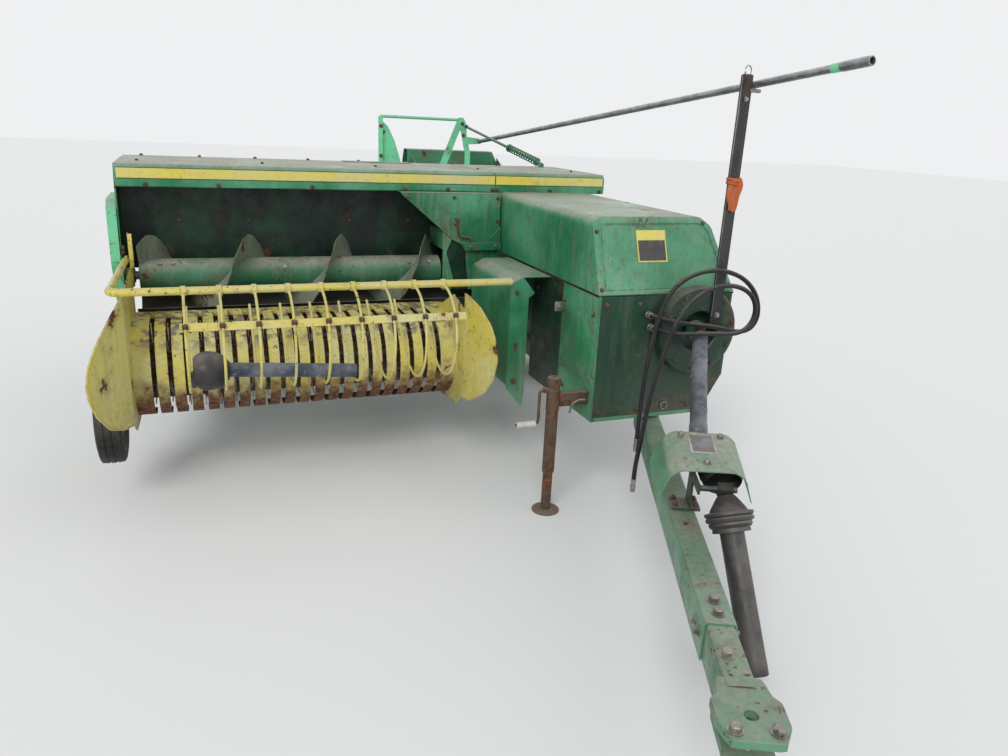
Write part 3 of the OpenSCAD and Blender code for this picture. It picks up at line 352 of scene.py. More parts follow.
def dent(bm, amount, size, seed=0.0):
    """Moves a sheet's points by a slow wave, both faces alike; the same wave in every run."""
    noise.seed_set(DENT_SEED)
    shift = Vector((seed, seed * 1.7, seed * 0.6))
    for v in bm.verts:
        v.co += noise.noise_vector(v.co / size + shift) * amount


def swing_to_tongue(bm):
    """Carries all that was drawn in the tongue's own straight frame to its real, swung place."""
    turn = Matrix.Rotation(TONGUE_SWING, 3, "Z")
    for v in bm.verts:
        v.co = TONGUE + turn @ v.co


def finish_piece(bm, name, body, material, replaces=(), angle=32.0):
    """Turns a bmesh into a piece that rides on a body."""
    bmesh.ops.recalc_face_normals(bm, faces=bm.faces[:])
    mesh = bpy.data.meshes.new(name)
    bm.to_mesh(mesh)
    bm.free()
    mesh.polygons.foreach_set("use_smooth", [True] * len(mesh.polygons))
    mesh.set_sharp_from_angle(angle=math.radians(angle))
    mesh.materials.append(MATERIALS[material])
    obj = bpy.data.objects.new(name, mesh)
    bpy.context.scene.collection.objects.link(obj)
    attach(obj, body)
    if replaces:
        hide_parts(*replaces)
    return obj


def finish_tongue(bm, name, material, replaces=()):
    """Finishes a piece that was drawn in the tongue's straight frame."""
    swing_to_tongue(bm)
    return finish_piece(bm, name, "tongue", material, replaces)


MATERIALS = {}


# Finishes: every material is built from nodes on the piece's own coordinates


class Finish:
    """A material's node tree, written step by step."""

    def __init__(self, name):
        self.material = bpy.data.materials.new(name)
        self.material.use_nodes = True
        self.tree = self.material.node_tree
        self.tree.nodes.clear()
        output = self.node("ShaderNodeOutputMaterial")
        self.shader = self.node("ShaderNodeBsdfPrincipled")
        self.tree.links.new(self.shader.outputs["BSDF"], output.inputs["Surface"])
        self.spot = self.node("ShaderNodeTexCoord").outputs["Object"]
        self.normal = self.node("ShaderNodeNewGeometry").outputs["Normal"]
        self.up = self.parts(self.normal)["Z"]
        self.height = self.parts(self.spot)["Z"]
        MATERIALS[name] = self.material

    def node(self, kind):
        return self.tree.nodes.new(kind)

    def put(self, socket, value):
        """Links a socket, or sets it to a constant."""
        if isinstance(value, bpy.types.NodeSocket):
            self.tree.links.new(value, socket)
        elif socket.type == "RGBA":
            socket.default_value = (value[0], value[1], value[2], 1.0)
        else:
            socket.default_value = value

    def parts(self, vector):
        node = self.node("ShaderNodeSeparateXYZ")
        self.put(node.inputs[0], vector)
        return node.outputs

    def noise(self, scale, detail=4.0, rough=0.55, stretch=None):
        """Noise on the piece's own coordinates."""
        node = self.node("ShaderNodeTexNoise")
        node.inputs["Scale"].default_value = scale
        node.inputs["Detail"].default_value = detail
        node.inputs["Roughness"].default_value = rough
        spot = self.spot
        if stretch:
            mapping = self.node("ShaderNodeMapping")
            mapping.inputs["Scale"].default_value = stretch
            self.put(mapping.inputs["Vector"], spot)
            spot = mapping.outputs["Vector"]
        self.put(node.inputs["Vector"], spot)
        return node.outputs["Fac"]

    def rise(self, value, low, high, bottom=0.0, top=1.0):
        """A smooth step from one level to another."""
        node = self.node("ShaderNodeMapRange")
        node.interpolation_type = "SMOOTHSTEP"
        for name, number in (("Value", value), ("From Min", low), ("From Max", high), ("To Min", bottom),
                ("To Max", top)):
            self.put(node.inputs[name], number)
        return node.outputs["Result"]

    def blots(self, scale, detail, rough, low, high, bottom=0.0, top=1.0):
        """Noise cut off between two levels."""
        return self.rise(self.noise(scale, detail, rough), low, high, bottom, top)

    def maths(self, kind, a, b=0.0):
        node = self.node("ShaderNodeMath")
        node.operation = kind
        node.use_clamp = kind in ("ADD", "SUBTRACT")
        self.put(node.inputs[0], a)
        self.put(node.inputs[1], b)
        return node.outputs[0]

    def times(self, a, b):
        return self.maths("MULTIPLY", a, b)

    def most(self, a, b):
        return self.maths("MAXIMUM", a, b)

    def mix(self, share, a, b):
        """A colour between two."""
        node = self.node("ShaderNodeMix")
        node.data_type = "RGBA"
        self.put(node.inputs[0], share)
        self.put(node.inputs[6], a)
        self.put(node.inputs[7], b)
        return node.outputs[2]

    def edges(self, reach, low=0.02, high=0.14):
        """1 where a face turns into its neighbour within that reach."""
        bevel = self.node("ShaderNodeBevel")
        bevel.samples = 4
        bevel.inputs["Radius"].default_value = reach
        dot = self.node("ShaderNodeVectorMath")
        dot.operation = "DOT_PRODUCT"
        self.put(dot.inputs[0], bevel.outputs["Normal"])
        self.put(dot.inputs[1], self.normal)
        return self.rise(self.maths("SUBTRACT", 1.0, dot.outputs["Value"]), low, high)

    def relief(self, *heights):
        """Bumps from pairs of a height and its depth in metres."""
        before = None
        for height, depth in heights:
            bump = self.node("ShaderNodeBump")
            bump.inputs["Strength"].default_value = 1.0
            bump.inputs["Distance"].default_value = depth
            self.put(bump.inputs["Height"], height)
            if before is not None:
                self.put(bump.inputs["Normal"], before)
            before = bump.outputs["Normal"]
        self.put(self.shader.inputs["Normal"], before)

    def close(self, colour, rough, metal=0.0, coat=0.0, specular=0.5, sheen=0.0):
        """Hands the results to the shader."""
        self.put(self.shader.inputs["Base Color"], colour)
        self.put(self.shader.inputs["Roughness"], rough)
        self.put(self.shader.inputs["Metallic"], metal)
        self.shader.inputs["Coat Weight"].default_value = coat
        self.shader.inputs["Coat Roughness"].default_value = 0.3
        self.shader.inputs["Specular IOR Level"].default_value = specular
        self.shader.inputs["Sheen Weight"].default_value = sheen
        self.shader.inputs["IOR"].default_value = 1.46
        return self.material


def shade(colour, by):
    """A colour made darker or lighter."""
    return tuple(min(1.0, c * by) for c in colour)


def painted(name, base, faded, rust=0.3, dust=0.6, streak=0.5, chips=0.6, gloss=0.42, patch=6.0,
        low_dirt=0.5):
    """Old farm paint: bleached, streaked and dusty, rusting in patches and worn at its edges."""
    p = bpy.context.scene.baler_paint
    f = Finish(name)
    broad = f.noise(2.3, 5.0, 0.6)
    fine = f.noise(46.0, 5.0, 0.6)
    runs = f.noise(7.0, 4.0, 0.6, (4.0, 4.0, 0.35))
    colour = f.mix(f.rise(broad, 0.36, 0.66), base, faded)
    colour = f.mix(f.times(f.rise(runs, 0.50, 0.74), 0.42 * streak), colour, shade(p.dust, 0.8))
    colour = f.mix(f.times(f.rise(f.noise(11.0, 6.0, 0.6, (3.0, 3.0, 0.5)), 0.52, 0.70), 0.5 * streak),
        colour, shade(base, 0.45))
    colour = f.mix(f.times(f.rise(fine, 0.50, 0.72), 0.22), colour, shade(base, 0.5))
    colour = f.mix(f.times(f.rise(f.height, 0.75, 0.15), f.rise(fine, 0.30, 0.62, 0.3 * low_dirt,
        low_dirt)), colour, shade(p.dust, 0.42))
    lie = f.times(f.rise(f.up, 0.20, 0.92), f.blots(5.0, 7.0, 0.66, 0.30, 0.64, 0.42 * dust, dust))
    colour = f.mix(lie, colour, f.mix(f.rise(fine, 0.35, 0.65), shade(p.dust, 0.72), p.dust))
    cloud = f.noise(patch, 9.0, 0.64)
    patches = f.rise(cloud, 0.70 - 0.20 * rust, 0.735 - 0.20 * rust)
    chip = f.blots(62.0, 4.0, 0.6, 0.60, 0.66)
    chip = f.times(chip, f.blots(4.0, 3.0, 0.55, 0.40, 0.62, 0.0, chips))
    edge = f.times(f.edges(p.wear), f.blots(30.0, 5.0, 0.62, 0.44, 0.56, 0.0, chips))
    bare = f.most(patches, f.most(chip, edge))
    rusty = f.mix(f.blots(24.0, 6.0, 0.6, 0.40, 0.62), p.rust, p.dark_rust)
    halo = f.times(f.rise(cloud, 0.60 - 0.20 * rust, 0.72 - 0.20 * rust), 0.35)
    colour = f.mix(halo, colour, shade(p.rust, 1.2))
    colour = f.mix(bare, colour, rusty)
    rough = f.blots(17.0, 4.0, 0.55, 0.35, 0.65, gloss - 0.07, gloss + 0.12)
    rough = f.most(rough, f.most(f.times(bare, 0.86), f.times(lie, 0.95)))
    f.relief((f.noise(3.4, 2.0), 0.004), (f.noise(210.0, 3.0), 0.00022), (bare, -0.0006))
    return f.close(colour, rough, coat=0.08, specular=0.45)


def bare_metal(name, base, dark, rust=0.3, metal=0.85, rough=0.42, grain=(6.0, 6.0, 6.0)):
    """Unpainted steel: stained, scratched and partly rusted."""
    p = bpy.context.scene.baler_paint
    f = Finish(name)
    colour = f.mix(f.blots(9.0, 6.0, 0.6, 0.38, 0.64), base, dark)
    colour = f.mix(f.times(f.rise(f.noise(40.0, 3.0, 0.6, grain), 0.46, 0.60), 0.4), colour,
        shade(dark, 0.6))
    patches = f.blots(21.0, 8.0, 0.66, 0.66 - 0.24 * rust, 0.72 - 0.22 * rust)
    rusty = f.mix(f.blots(60.0, 5.0, 0.6, 0.40, 0.62), p.rust, p.dark_rust)
    colour = f.mix(patches, colour, rusty)
    lie = f.times(f.rise(f.up, 0.30, 0.95), 0.35)
    colour = f.mix(lie, colour, shade(p.dust, 0.8))
    share = f.maths("SUBTRACT", metal, f.times(f.most(patches, lie), metal))
    f.relief((f.noise(300.0, 3.0), 0.0002), (patches, -0.0005))
    return f.close(colour, f.most(f.blots(50.0, 4.0, 0.55, 0.3, 0.7, rough - 0.08, rough + 0.14),
        f.times(patches, 0.85)), metal=share)


def moulded(name, base, scuff, rough=0.55, scuffs=0.5, dust=0.5, fine=0.0003):
    """Rubber or plastic: scuffed, dull and dusty."""
    p = bpy.context.scene.baler_paint
    f = Finish(name)
    colour = f.mix(f.blots(7.0, 6.0, 0.6, 0.40, 0.68), base, shade(scuff, 0.6))
    marks = f.times(f.blots(34.0, 7.0, 0.7, 0.56, 0.66), scuffs)
    colour = f.mix(marks, colour, scuff)
    lie = f.times(f.rise(f.up, 0.0, 0.95), f.blots(12.0, 6.0, 0.6, 0.34, 0.62, 0.3 * dust, dust))
    colour = f.mix(lie, colour, shade(p.dust, 0.62))
    f.relief((f.noise(160.0, 3.0), fine), (marks, -0.0003))
    return f.close(colour, f.most(f.blots(30.0, 4.0, 0.55, 0.3, 0.7, rough - 0.08, rough + 0.15),
        f.times(lie, 0.9)), specular=0.35, sheen=0.05)


def band_paint():
    """Stripper bands: chalky yellow, polished to grey brown on top, rusted low down."""
    p = bpy.context.scene.baler_paint
    f = Finish("band_yellow")
    fine = f.noise(34.0, 6.0, 0.64, (1.0, 2.0, 2.0))
    colour = f.mix(f.blots(5.0, 5.0, 0.55, 0.36, 0.66), p.yellow, p.faded_yellow)
    colour = f.mix(f.times(f.rise(fine, 0.48, 0.66), 0.4), colour, shade(p.dust, 0.7))
    low = f.rise(f.maths("ADD", f.height, f.times(f.noise(16.0, 6.0, 0.66), 0.30)), 0.72, 0.55)
    top = f.times(f.rise(f.up, 0.45, 0.85), f.blots(13.0, 7.0, 0.66, 0.46, 0.56))
    rusty = f.mix(f.blots(40.0, 6.0, 0.6, 0.40, 0.62), shade(p.rust, 1.25), p.dark_rust)
    worn = f.mix(f.rise(fine, 0.4, 0.6), (0.13, 0.10, 0.075), (0.27, 0.235, 0.19))
    colour = f.mix(top, colour, worn)
    edge = f.times(f.edges(0.004), f.blots(26.0, 5.0, 0.55, 0.42, 0.55))
    bare = f.most(low, f.most(edge, f.blots(19.0, 8.0, 0.64, 0.63, 0.67)))
    colour = f.mix(bare, colour, rusty)
    f.relief((f.noise(240.0, 3.0), 0.0002), (f.most(bare, top), -0.0005))
    return f.close(colour, f.most(f.times(bare, 0.85), f.rise(fine, 0.3, 0.7, 0.40, 0.62)), coat=0.05)


def housing_paint():
    """Auger housing: green outside; where the auger turns, near black as painted shade over dark paint, and
    dusty.
    """
    p = bpy.context.scene.baler_paint
    f = Finish("housing_green")
    # Faces inside the trough, those looking forward and the inner face of the end, get painted shade: near
    # black over the green.
    parts = f.parts(f.normal)
    back = f.rise(f.times(parts["Y"], -1.0), 0.1, 0.5)
    inner_end = f.rise(parts["X"], 0.4, 0.8)
    inside = f.most(back, inner_end)
    colour = f.mix(f.blots(2.3, 5.0, 0.6, 0.36, 0.66), p.green, p.faded_green)
    dark = f.mix(f.blots(9.0, 6.0, 0.6, 0.42, 0.66), shade(p.dark_green_and_shade, 0.7), shade(p.green, 0.22))
    dark = f.mix(f.blots(15.0, 7.0, 0.66, 0.64, 0.70), dark, shade(p.dark_rust, 0.6))
    colour = f.mix(inside, colour, dark)
    lie = f.times(f.rise(f.up, 0.3, 0.95), 0.55)
    colour = f.mix(lie, colour, shade(p.dust, 0.5))
    edge = f.times(f.edges(p.wear), f.blots(30.0, 5.0, 0.55, 0.46, 0.56))
    patches = f.most(edge, f.blots(6.0, 9.0, 0.64, 0.63, 0.66))
    colour = f.mix(patches, colour, f.mix(f.blots(24.0, 4.0, 0.55, 0.4, 0.6), p.rust, p.dark_rust))
    f.relief((f.noise(3.4, 2.0), 0.004), (f.noise(210.0, 3.0), 0.0002), (patches, -0.0005))
    return f.close(colour, f.most(f.blots(17.0, 4.0, 0.55, 0.35, 0.65, 0.40, 0.58), f.times(patches, 0.85)),
        coat=0.05)


def mix_paints():
    """All finishes of the baler."""
    p = bpy.context.scene.baler_paint
    painted("hood_green", p.green, p.faded_green, rust=0.16, dust=0.95, streak=0.5)
    painted("frame_green", shade(p.green, 0.8), shade(p.faded_green, 0.75), rust=0.42, dust=0.7,
        low_dirt=0.8)
    painted("shield_green", p.green, p.faded_green, rust=0.22, dust=0.8, streak=0.7)
    # A darker copy of the shield paint: painted shade for the lower shield's front and the rear of its side.
    painted("shaded_shield_green", shade(p.dark_green_and_shade, 1.7), shade(p.green, 0.26), rust=0.14, dust=0.4, streak=0.25)
    painted("feeder_green", shade(p.green, 0.75), p.faded_green, rust=0.30, dust=0.7, streak=0.9)
    painted("pale_green", shade(p.faded_green, 1.6), shade(p.faded_green, 2.1), rust=0.20, dust=0.7,
        gloss=0.55)
    painted("auger_green", shade(p.green, 0.60), shade(p.faded_green, 0.55), rust=0.40, dust=0.7, chips=1.0)
    # Near black over dark green: painted shade for the feeder's pocket and the pedestal under the saddle.
    painted("mouth_green_and_shade", p.dark_green_and_shade, shade(p.green, 0.30), rust=0.30, dust=0.6)
    painted("tongue_green", p.green, p.faded_green, rust=0.26, dust=0.55, chips=1.0)
    painted("stripe_yellow", shade(p.yellow, 1.08), p.faded_yellow, rust=0.05, dust=0.1, streak=0.2,
        chips=0.3, low_dirt=0.0)
    painted("stripe_edge", p.dark_green_and_shade, shade(p.dark_green_and_shade, 1.6), rust=0.02, dust=0.1, streak=0.1,
        chips=0.2)
    painted("pickup_yellow", p.yellow, p.faded_yellow, rust=0.46, dust=0.5, chips=1.0, patch=8.0,
        low_dirt=0.6)
    painted("guard_yellow", p.yellow, p.faded_yellow, rust=0.26, dust=0.4, chips=1.0, patch=11.0,
        low_dirt=0.4)
    painted("rim_yellow", p.yellow, p.faded_yellow, rust=0.36, dust=0.4, chips=0.9, patch=9.0, low_dirt=0.9)
    painted("post_black", (0.012, 0.012, 0.014), (0.03, 0.032, 0.036), rust=0.18, dust=0.4, chips=0.7,
        gloss=0.35)
    painted("plate_pale", (0.42, 0.42, 0.38), (0.52, 0.50, 0.42), rust=0.05, dust=0.3, chips=0.4)
    painted("plate_blue", (0.085, 0.110, 0.135), (0.16, 0.18, 0.19), rust=0.05, dust=0.3, chips=0.4)
    painted("auger_worn", (0.150, 0.200, 0.140), (0.250, 0.270, 0.200), rust=0.50, dust=0.8, chips=1.0)
    painted("plate_dark", (0.035, 0.035, 0.035), (0.06, 0.06, 0.055), rust=0.05, dust=0.3, chips=0.3)
    painted("grip_white", (0.62, 0.60, 0.56), (0.72, 0.70, 0.66), rust=0.0, dust=0.3, chips=0.2)
    bare_metal("bolt_zinc", (0.34, 0.33, 0.30), (0.16, 0.15, 0.13), rust=0.35)
    bare_metal("bolt_rusty", (0.15, 0.10, 0.07), (0.08, 0.05, 0.035), rust=0.8, metal=0.4, rough=0.7)
    bare_metal("tine_steel", (0.56, 0.52, 0.45), (0.26, 0.20, 0.15), rust=0.38, metal=0.45, rough=0.45)
    bare_metal("pipe_zinc", (0.36, 0.37, 0.38), (0.22, 0.23, 0.24), rust=0.12, metal=0.8, rough=0.36,
        grain=(2.0, 0.3, 2.0))
    bare_metal("worn_steel", (0.38, 0.36, 0.33), (0.20, 0.18, 0.16), rust=0.30, metal=0.8)
    bare_metal("jack_rust", (0.13, 0.085, 0.06), (0.075, 0.05, 0.038), rust=0.85, metal=0.25, rough=0.7)
    bare_metal("cast_iron", (0.10, 0.09, 0.08), (0.06, 0.052, 0.046), rust=0.5, metal=0.5, rough=0.6)
    bare_metal("coupler_steel", (0.42, 0.41, 0.38), (0.24, 0.22, 0.19), rust=0.2)
    moulded("tyre_rubber", (0.012, 0.012, 0.012), (0.075, 0.068, 0.060), rough=0.72, scuffs=0.7, dust=0.8)
    moulded("hose_black", (0.008, 0.008, 0.009), (0.030, 0.029, 0.028), rough=0.48, scuffs=0.3, dust=0.4)
    moulded("shaft_black", (0.016, 0.016, 0.018), (0.075, 0.073, 0.070), rough=0.42, scuffs=0.5, dust=0.55)
    moulded("shaft_blue", (0.032, 0.044, 0.066), (0.26, 0.29, 0.33), rough=0.42, scuffs=0.60, dust=0.22)
    moulded("seal_black", (0.006, 0.006, 0.006), (0.03, 0.03, 0.03), rough=0.6)
    moulded("rag_orange", (0.52, 0.115, 0.030), (0.60, 0.21, 0.09), rough=0.85, scuffs=0.5, dust=0.2,
        fine=0.0012)
    band_paint()
    housing_paint()


def coat(material, *nodes):
    """Gives a procedural finish to construction parts that stay as they are."""
    for name in nodes:
        mesh = bpy.data.objects[name].data
        mesh.materials.clear()
        mesh.materials.append(MATERIALS[material])
        mesh.polygons.foreach_set("use_smooth", [True] * len(mesh.polygons))
        mesh.set_sharp_from_angle(angle=math.radians(32))


# Operators: the stage first, then the pieces from the hoses on


class BALER_OT_studio(bpy.types.Operator):
    """Sets the camera, the pale floor and the soft lights"""

    bl_idname = "baler.studio"
    bl_label = "Studio"

    def execute(self, context):
        s = context.scene.baler_studio
        yaw, pitch, roll = (math.radians(a) for a in (s.yaw, s.pitch, s.roll))
        ahead = Vector((math.sin(yaw) * math.cos(pitch), math.cos(yaw) * math.cos(pitch), -math.sin(pitch)))
        right = Vector((math.cos(yaw), -math.sin(yaw), 0.0))
        up = right.cross(ahead)
        side = right * math.cos(roll) + up * math.sin(roll)
        top = up * math.cos(roll) - right * math.sin(roll)
        data = bpy.data.cameras.new("view")
        data.sensor_width = 36.0
        data.lens = s.lens
        data.clip_end = 200.0
        camera = bpy.data.objects.new("view", data)
        turn = Matrix((side, top, -ahead)).transposed().to_4x4()
        camera.matrix_world = Matrix.Translation(Vector(s.eye)) @ turn
        context.scene.collection.objects.link(camera)
        context.scene.camera = camera
        context.scene.view_settings.view_transform = "Standard"
        self.floor(context)
        self.sky(context)
        middle = (CAD_LOW + CAD_HIGH) / 2
        for name, at, spread, power in (("key", (-3.6, -5.0, 5.6), 34.0, 1.60),
                ("fill", (5.4, -3.2, 4.2), 70.0, 0.55), ("back", (1.6, 6.0, 5.0), 60.0, 0.50)):
            lamp = bpy.data.lights.new(name, "SUN")
            lamp.energy = power * s.light
            lamp.angle = math.radians(spread)
            obj = bpy.data.objects.new(name, lamp)
            obj.location = at
            obj.rotation_euler = (middle - Vector(at)).to_track_quat("-Z", "Y").to_euler()
            context.scene.collection.objects.link(obj)
        return {"FINISHED"}

    def floor(self, context):
        """One pale plain floor below the wheels."""
        bm = bmesh.new()
        bmesh.ops.create_grid(bm, x_segments=8, y_segments=8, size=FLOOR_REACH)
        for v in bm.verts:
            v.co.z = -FLOOR_GAP
        mesh = bpy.data.meshes.new("floor")
        bm.to_mesh(mesh)
        bm.free()
        f = Finish("floor_pale")
        f.close((0.80, 0.80, 0.79), 0.9, specular=0.1)
        mesh.materials.append(f.material)
        obj = bpy.data.objects.new("floor", mesh)
        context.scene.collection.objects.link(obj)

    def sky(self, context):
        """Soft light all round; the camera and reflections see a paler sky."""
        world = bpy.data.worlds.new("pale")
        context.scene.world = world
        world.use_nodes = True
        tree = world.node_tree
        tree.nodes.clear()
        names = ("OutputWorld", "MixShader", "Background", "Background", "LightPath", "Math", "Math")
        out, mix, soft, seen, path, either, shiny = [tree.nodes.new("ShaderNode" + n) for n in names]
        for light, colour, strength in ((soft, (0.93, 0.96, 1.0, 1.0), 0.55),
                (seen, (0.86, 0.87, 0.88, 1.0), 1.0)):
            light.inputs["Color"].default_value = colour
            light.inputs["Strength"].default_value = strength
        for choice in (either, shiny):
            choice.operation = "MAXIMUM"
        for source, target in ((path.outputs["Is Camera Ray"], either.inputs[0]),
                (path.outputs["Is Transmission Ray"], either.inputs[1]),
                (either.outputs[0], shiny.inputs[0]), (path.outputs["Is Glossy Ray"], shiny.inputs[1]),
                (shiny.outputs[0], mix.inputs[0]), (soft.outputs[0], mix.inputs[1]),
                (seen.outputs[0], mix.inputs[2]), (mix.outputs[0], out.inputs[0])):
            tree.links.new(source, target)


class BALER_OT_hoses(bpy.types.Operator):
    """Two hydraulic hoses, coiled once over the shield and hanging down, with their couplers"""

    bl_idname = "baler.hoses"
    bl_label = "Hoses and couplers"

    def execute(self, context):
        wide = context.scene.baler_parts.hose
        for letter, route in (("a", HOSE_A), ("b", HOSE_B)):
            points = [Vector(p) * MM for p in route]
            coupler = self.coupler(letter, points[-1])
            curve = bpy.data.curves.new("hose_" + letter, "CURVE")
            curve.dimensions = "3D"
            curve.bevel_depth = wide / 2
            curve.bevel_resolution = 4
            curve.resolution_u = 4
            curve.use_fill_caps = True
            spline = curve.splines.new("NURBS")
            spline.points.add(len(points) - 1)
            for k, p in enumerate(points):
                spline.points[k].co = (p.x, p.y, p.z, 1.0)
            spline.order_u = 4
            spline.use_endpoint_u = True
            curve.materials.append(MATERIALS["hose_black"])
            hose = bpy.data.objects.new("hose_line_" + letter, curve)
            context.scene.collection.objects.link(hose)
            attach(hose, "chassis")
            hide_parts("hose_" + letter)
            self.swaged_end(letter, points)
        return {"FINISHED"}

    def coupler(self, letter, top):
        """Coupler body on a hose's lower end."""
        bm = bmesh.new()
        profile = [(0.0085, 0.0), (0.0115, 0.001), (0.0115, 0.018), (0.0095, 0.020), (0.0095, 0.026),
            (0.0118, 0.027), (0.0118, 0.043), (0.0105, 0.045), (0.0105, 0.060), (0.0070, 0.061),
            (0.0070, 0.050)]
        turned(bm, profile, top, (0, 0, -1), 24)
        return finish_piece(bm, "coupler_body_" + letter, "chassis", "coupler_steel",
            ("coupler_" + letter,))

    def swaged_end(self, letter, points):
        """Ferrule and nut on a hose's upper end."""
        bm = bmesh.new()
        profile = [(0.0102, 0.004), (0.0125, 0.005), (0.0125, 0.018), (0.0135, 0.020), (0.0135, 0.024),
            (0.0102, 0.025)]
        turned_ring(bm, profile, points[0], (0, -1, 0), 20)
        bolt(bm, points[0] + Vector((0, 0.004, 0)), (0, -1, 0), 0.020)
        finish_piece(bm, "hose_ferrule_" + letter, "chassis", "coupler_steel")


class BALER_OT_hood(bpy.types.Operator):
    """Folded hood in two lengths, its stripe, seam and bolts"""

    bl_idname = "baler.hood"
    bl_label = "Hood and stripe"

    def execute(self, context):
        parts = context.scene.baler_parts
        t = parts.sheet
        front = HOOD_Y0 + t / 2
        rear = HOOD_Y0 + HOOD_DEEP - t / 2
        top = HOOD_TOP - t / 2
        line = [(0.438, HOOD_LOW + t / 2), (front, HOOD_LOW + t / 2), (front, HOOD_FOLD), (0.427, top),
            (rear, top), (rear, 1.363)]
        outline = folded(line, t, [0, 0.006, 0.012, 0.012, 0.010, 0], longest=0.06)
        seam = HOOD_SEAM
        bm = bmesh.new()
        prism(bm, outline, "x", HOOD_X0, seam - 0.0012, 44)
        prism(bm, outline, "x", seam + 0.0012, HOOD_X1, 18)
        dent(bm, 0.0032, 0.42, 3.1)
        for v in bm.verts:
            v.co.y = min(max(v.co.y, HOOD_Y0 + 0.0002), HOOD_Y0 + HOOD_DEEP - 0.0002)
            v.co.z = min(v.co.z, HOOD_TOP - 0.0002)
        end = [(HOOD_Y0 + 0.001, HOOD_LOW + 0.001), (HOOD_Y0 + 0.001, HOOD_FOLD), (0.427, HOOD_TOP - 0.001),
            (rear, HOOD_TOP - 0.001), (rear, HOOD_TOP - 0.120), (0.610, HOOD_LOW + 0.001)]
        prism(bm, soften(end, 0.008, closed=True, steps=3), "x", HOOD_X1 - 0.0002, HOOD_X1 + 0.0028)
        finish_piece(bm, "hood_sheet", "chassis", "hood_green", ("hood",))
        self.stripe(parts, seam)
        self.fasteners(seam)
        return {"FINISHED"}

    def stripe(self, parts, seam):
        """Bare stripe and its dark border, in two lengths."""
        for name, low, high, lift, finish in (("stripe_band", 1.3365, 1.3365 + parts.stripe, 0.0011,
                "stripe_yellow"), ("stripe_border", 1.333, 1.3845, 0.0006, "stripe_edge")):
            bm = bmesh.new()
            for x0, x1 in ((HOOD_X0 + 0.010, seam - 0.003), (seam + 0.003, HOOD_X1 - 0.008)):
                cuts = max(2, int((x1 - x0) / 0.05))
                y = HOOD_Y0 + 0.0002
                prism(bm, [(y - lift, low), (y - lift, high), (y + 0.0016, high), (y + 0.0016, low)], "x",
                    x0, x1, cuts)
            finish_piece(bm, name, "chassis", finish)

    def fasteners(self, seam):
        """Bolts along the edges, and the lap over the seam."""
        bm = bmesh.new()
        low = HOOD_LOW + 0.012
        for k, x in enumerate((-1.180, -0.860, -0.420, 0.053, 0.286, 0.540, 0.568, 0.881, 1.190)):
            bolt(bm, (x, HOOD_Y0, low), (0, -1, 0), 0.015, 0.0, 0.4 * k)
        for k in range(9):
            x = -1.22 + 0.292 * k
            bolt(bm, (x, 1.105, HOOD_TOP - 0.001), (0, 0, 1), 0.015, 0.0, 0.5 * k)
            if k % 2 == 0:
                bolt(bm, (x, 0.640, HOOD_TOP - 0.001), (0, 0, 1), 0.013, 0.0, 0.9 * k)
        finish_piece(bm, "hood_bolts", "chassis", "bolt_rusty")
        bm = bmesh.new()
        block(bm, (-0.150, 1.020, HOOD_TOP - 0.001), (0.240, 1.110, HOOD_TOP + 0.004), 0.0015)
        prism(bm, [(seam - 0.045, 0.46), (seam - 0.002, 0.46), (seam - 0.002, 1.10), (seam - 0.045, 1.10)],
            "z", HOOD_TOP - 0.0015, HOOD_TOP + 0.0012, 1)
        finish_piece(bm, "hood_joint", "chassis", "hood_green")


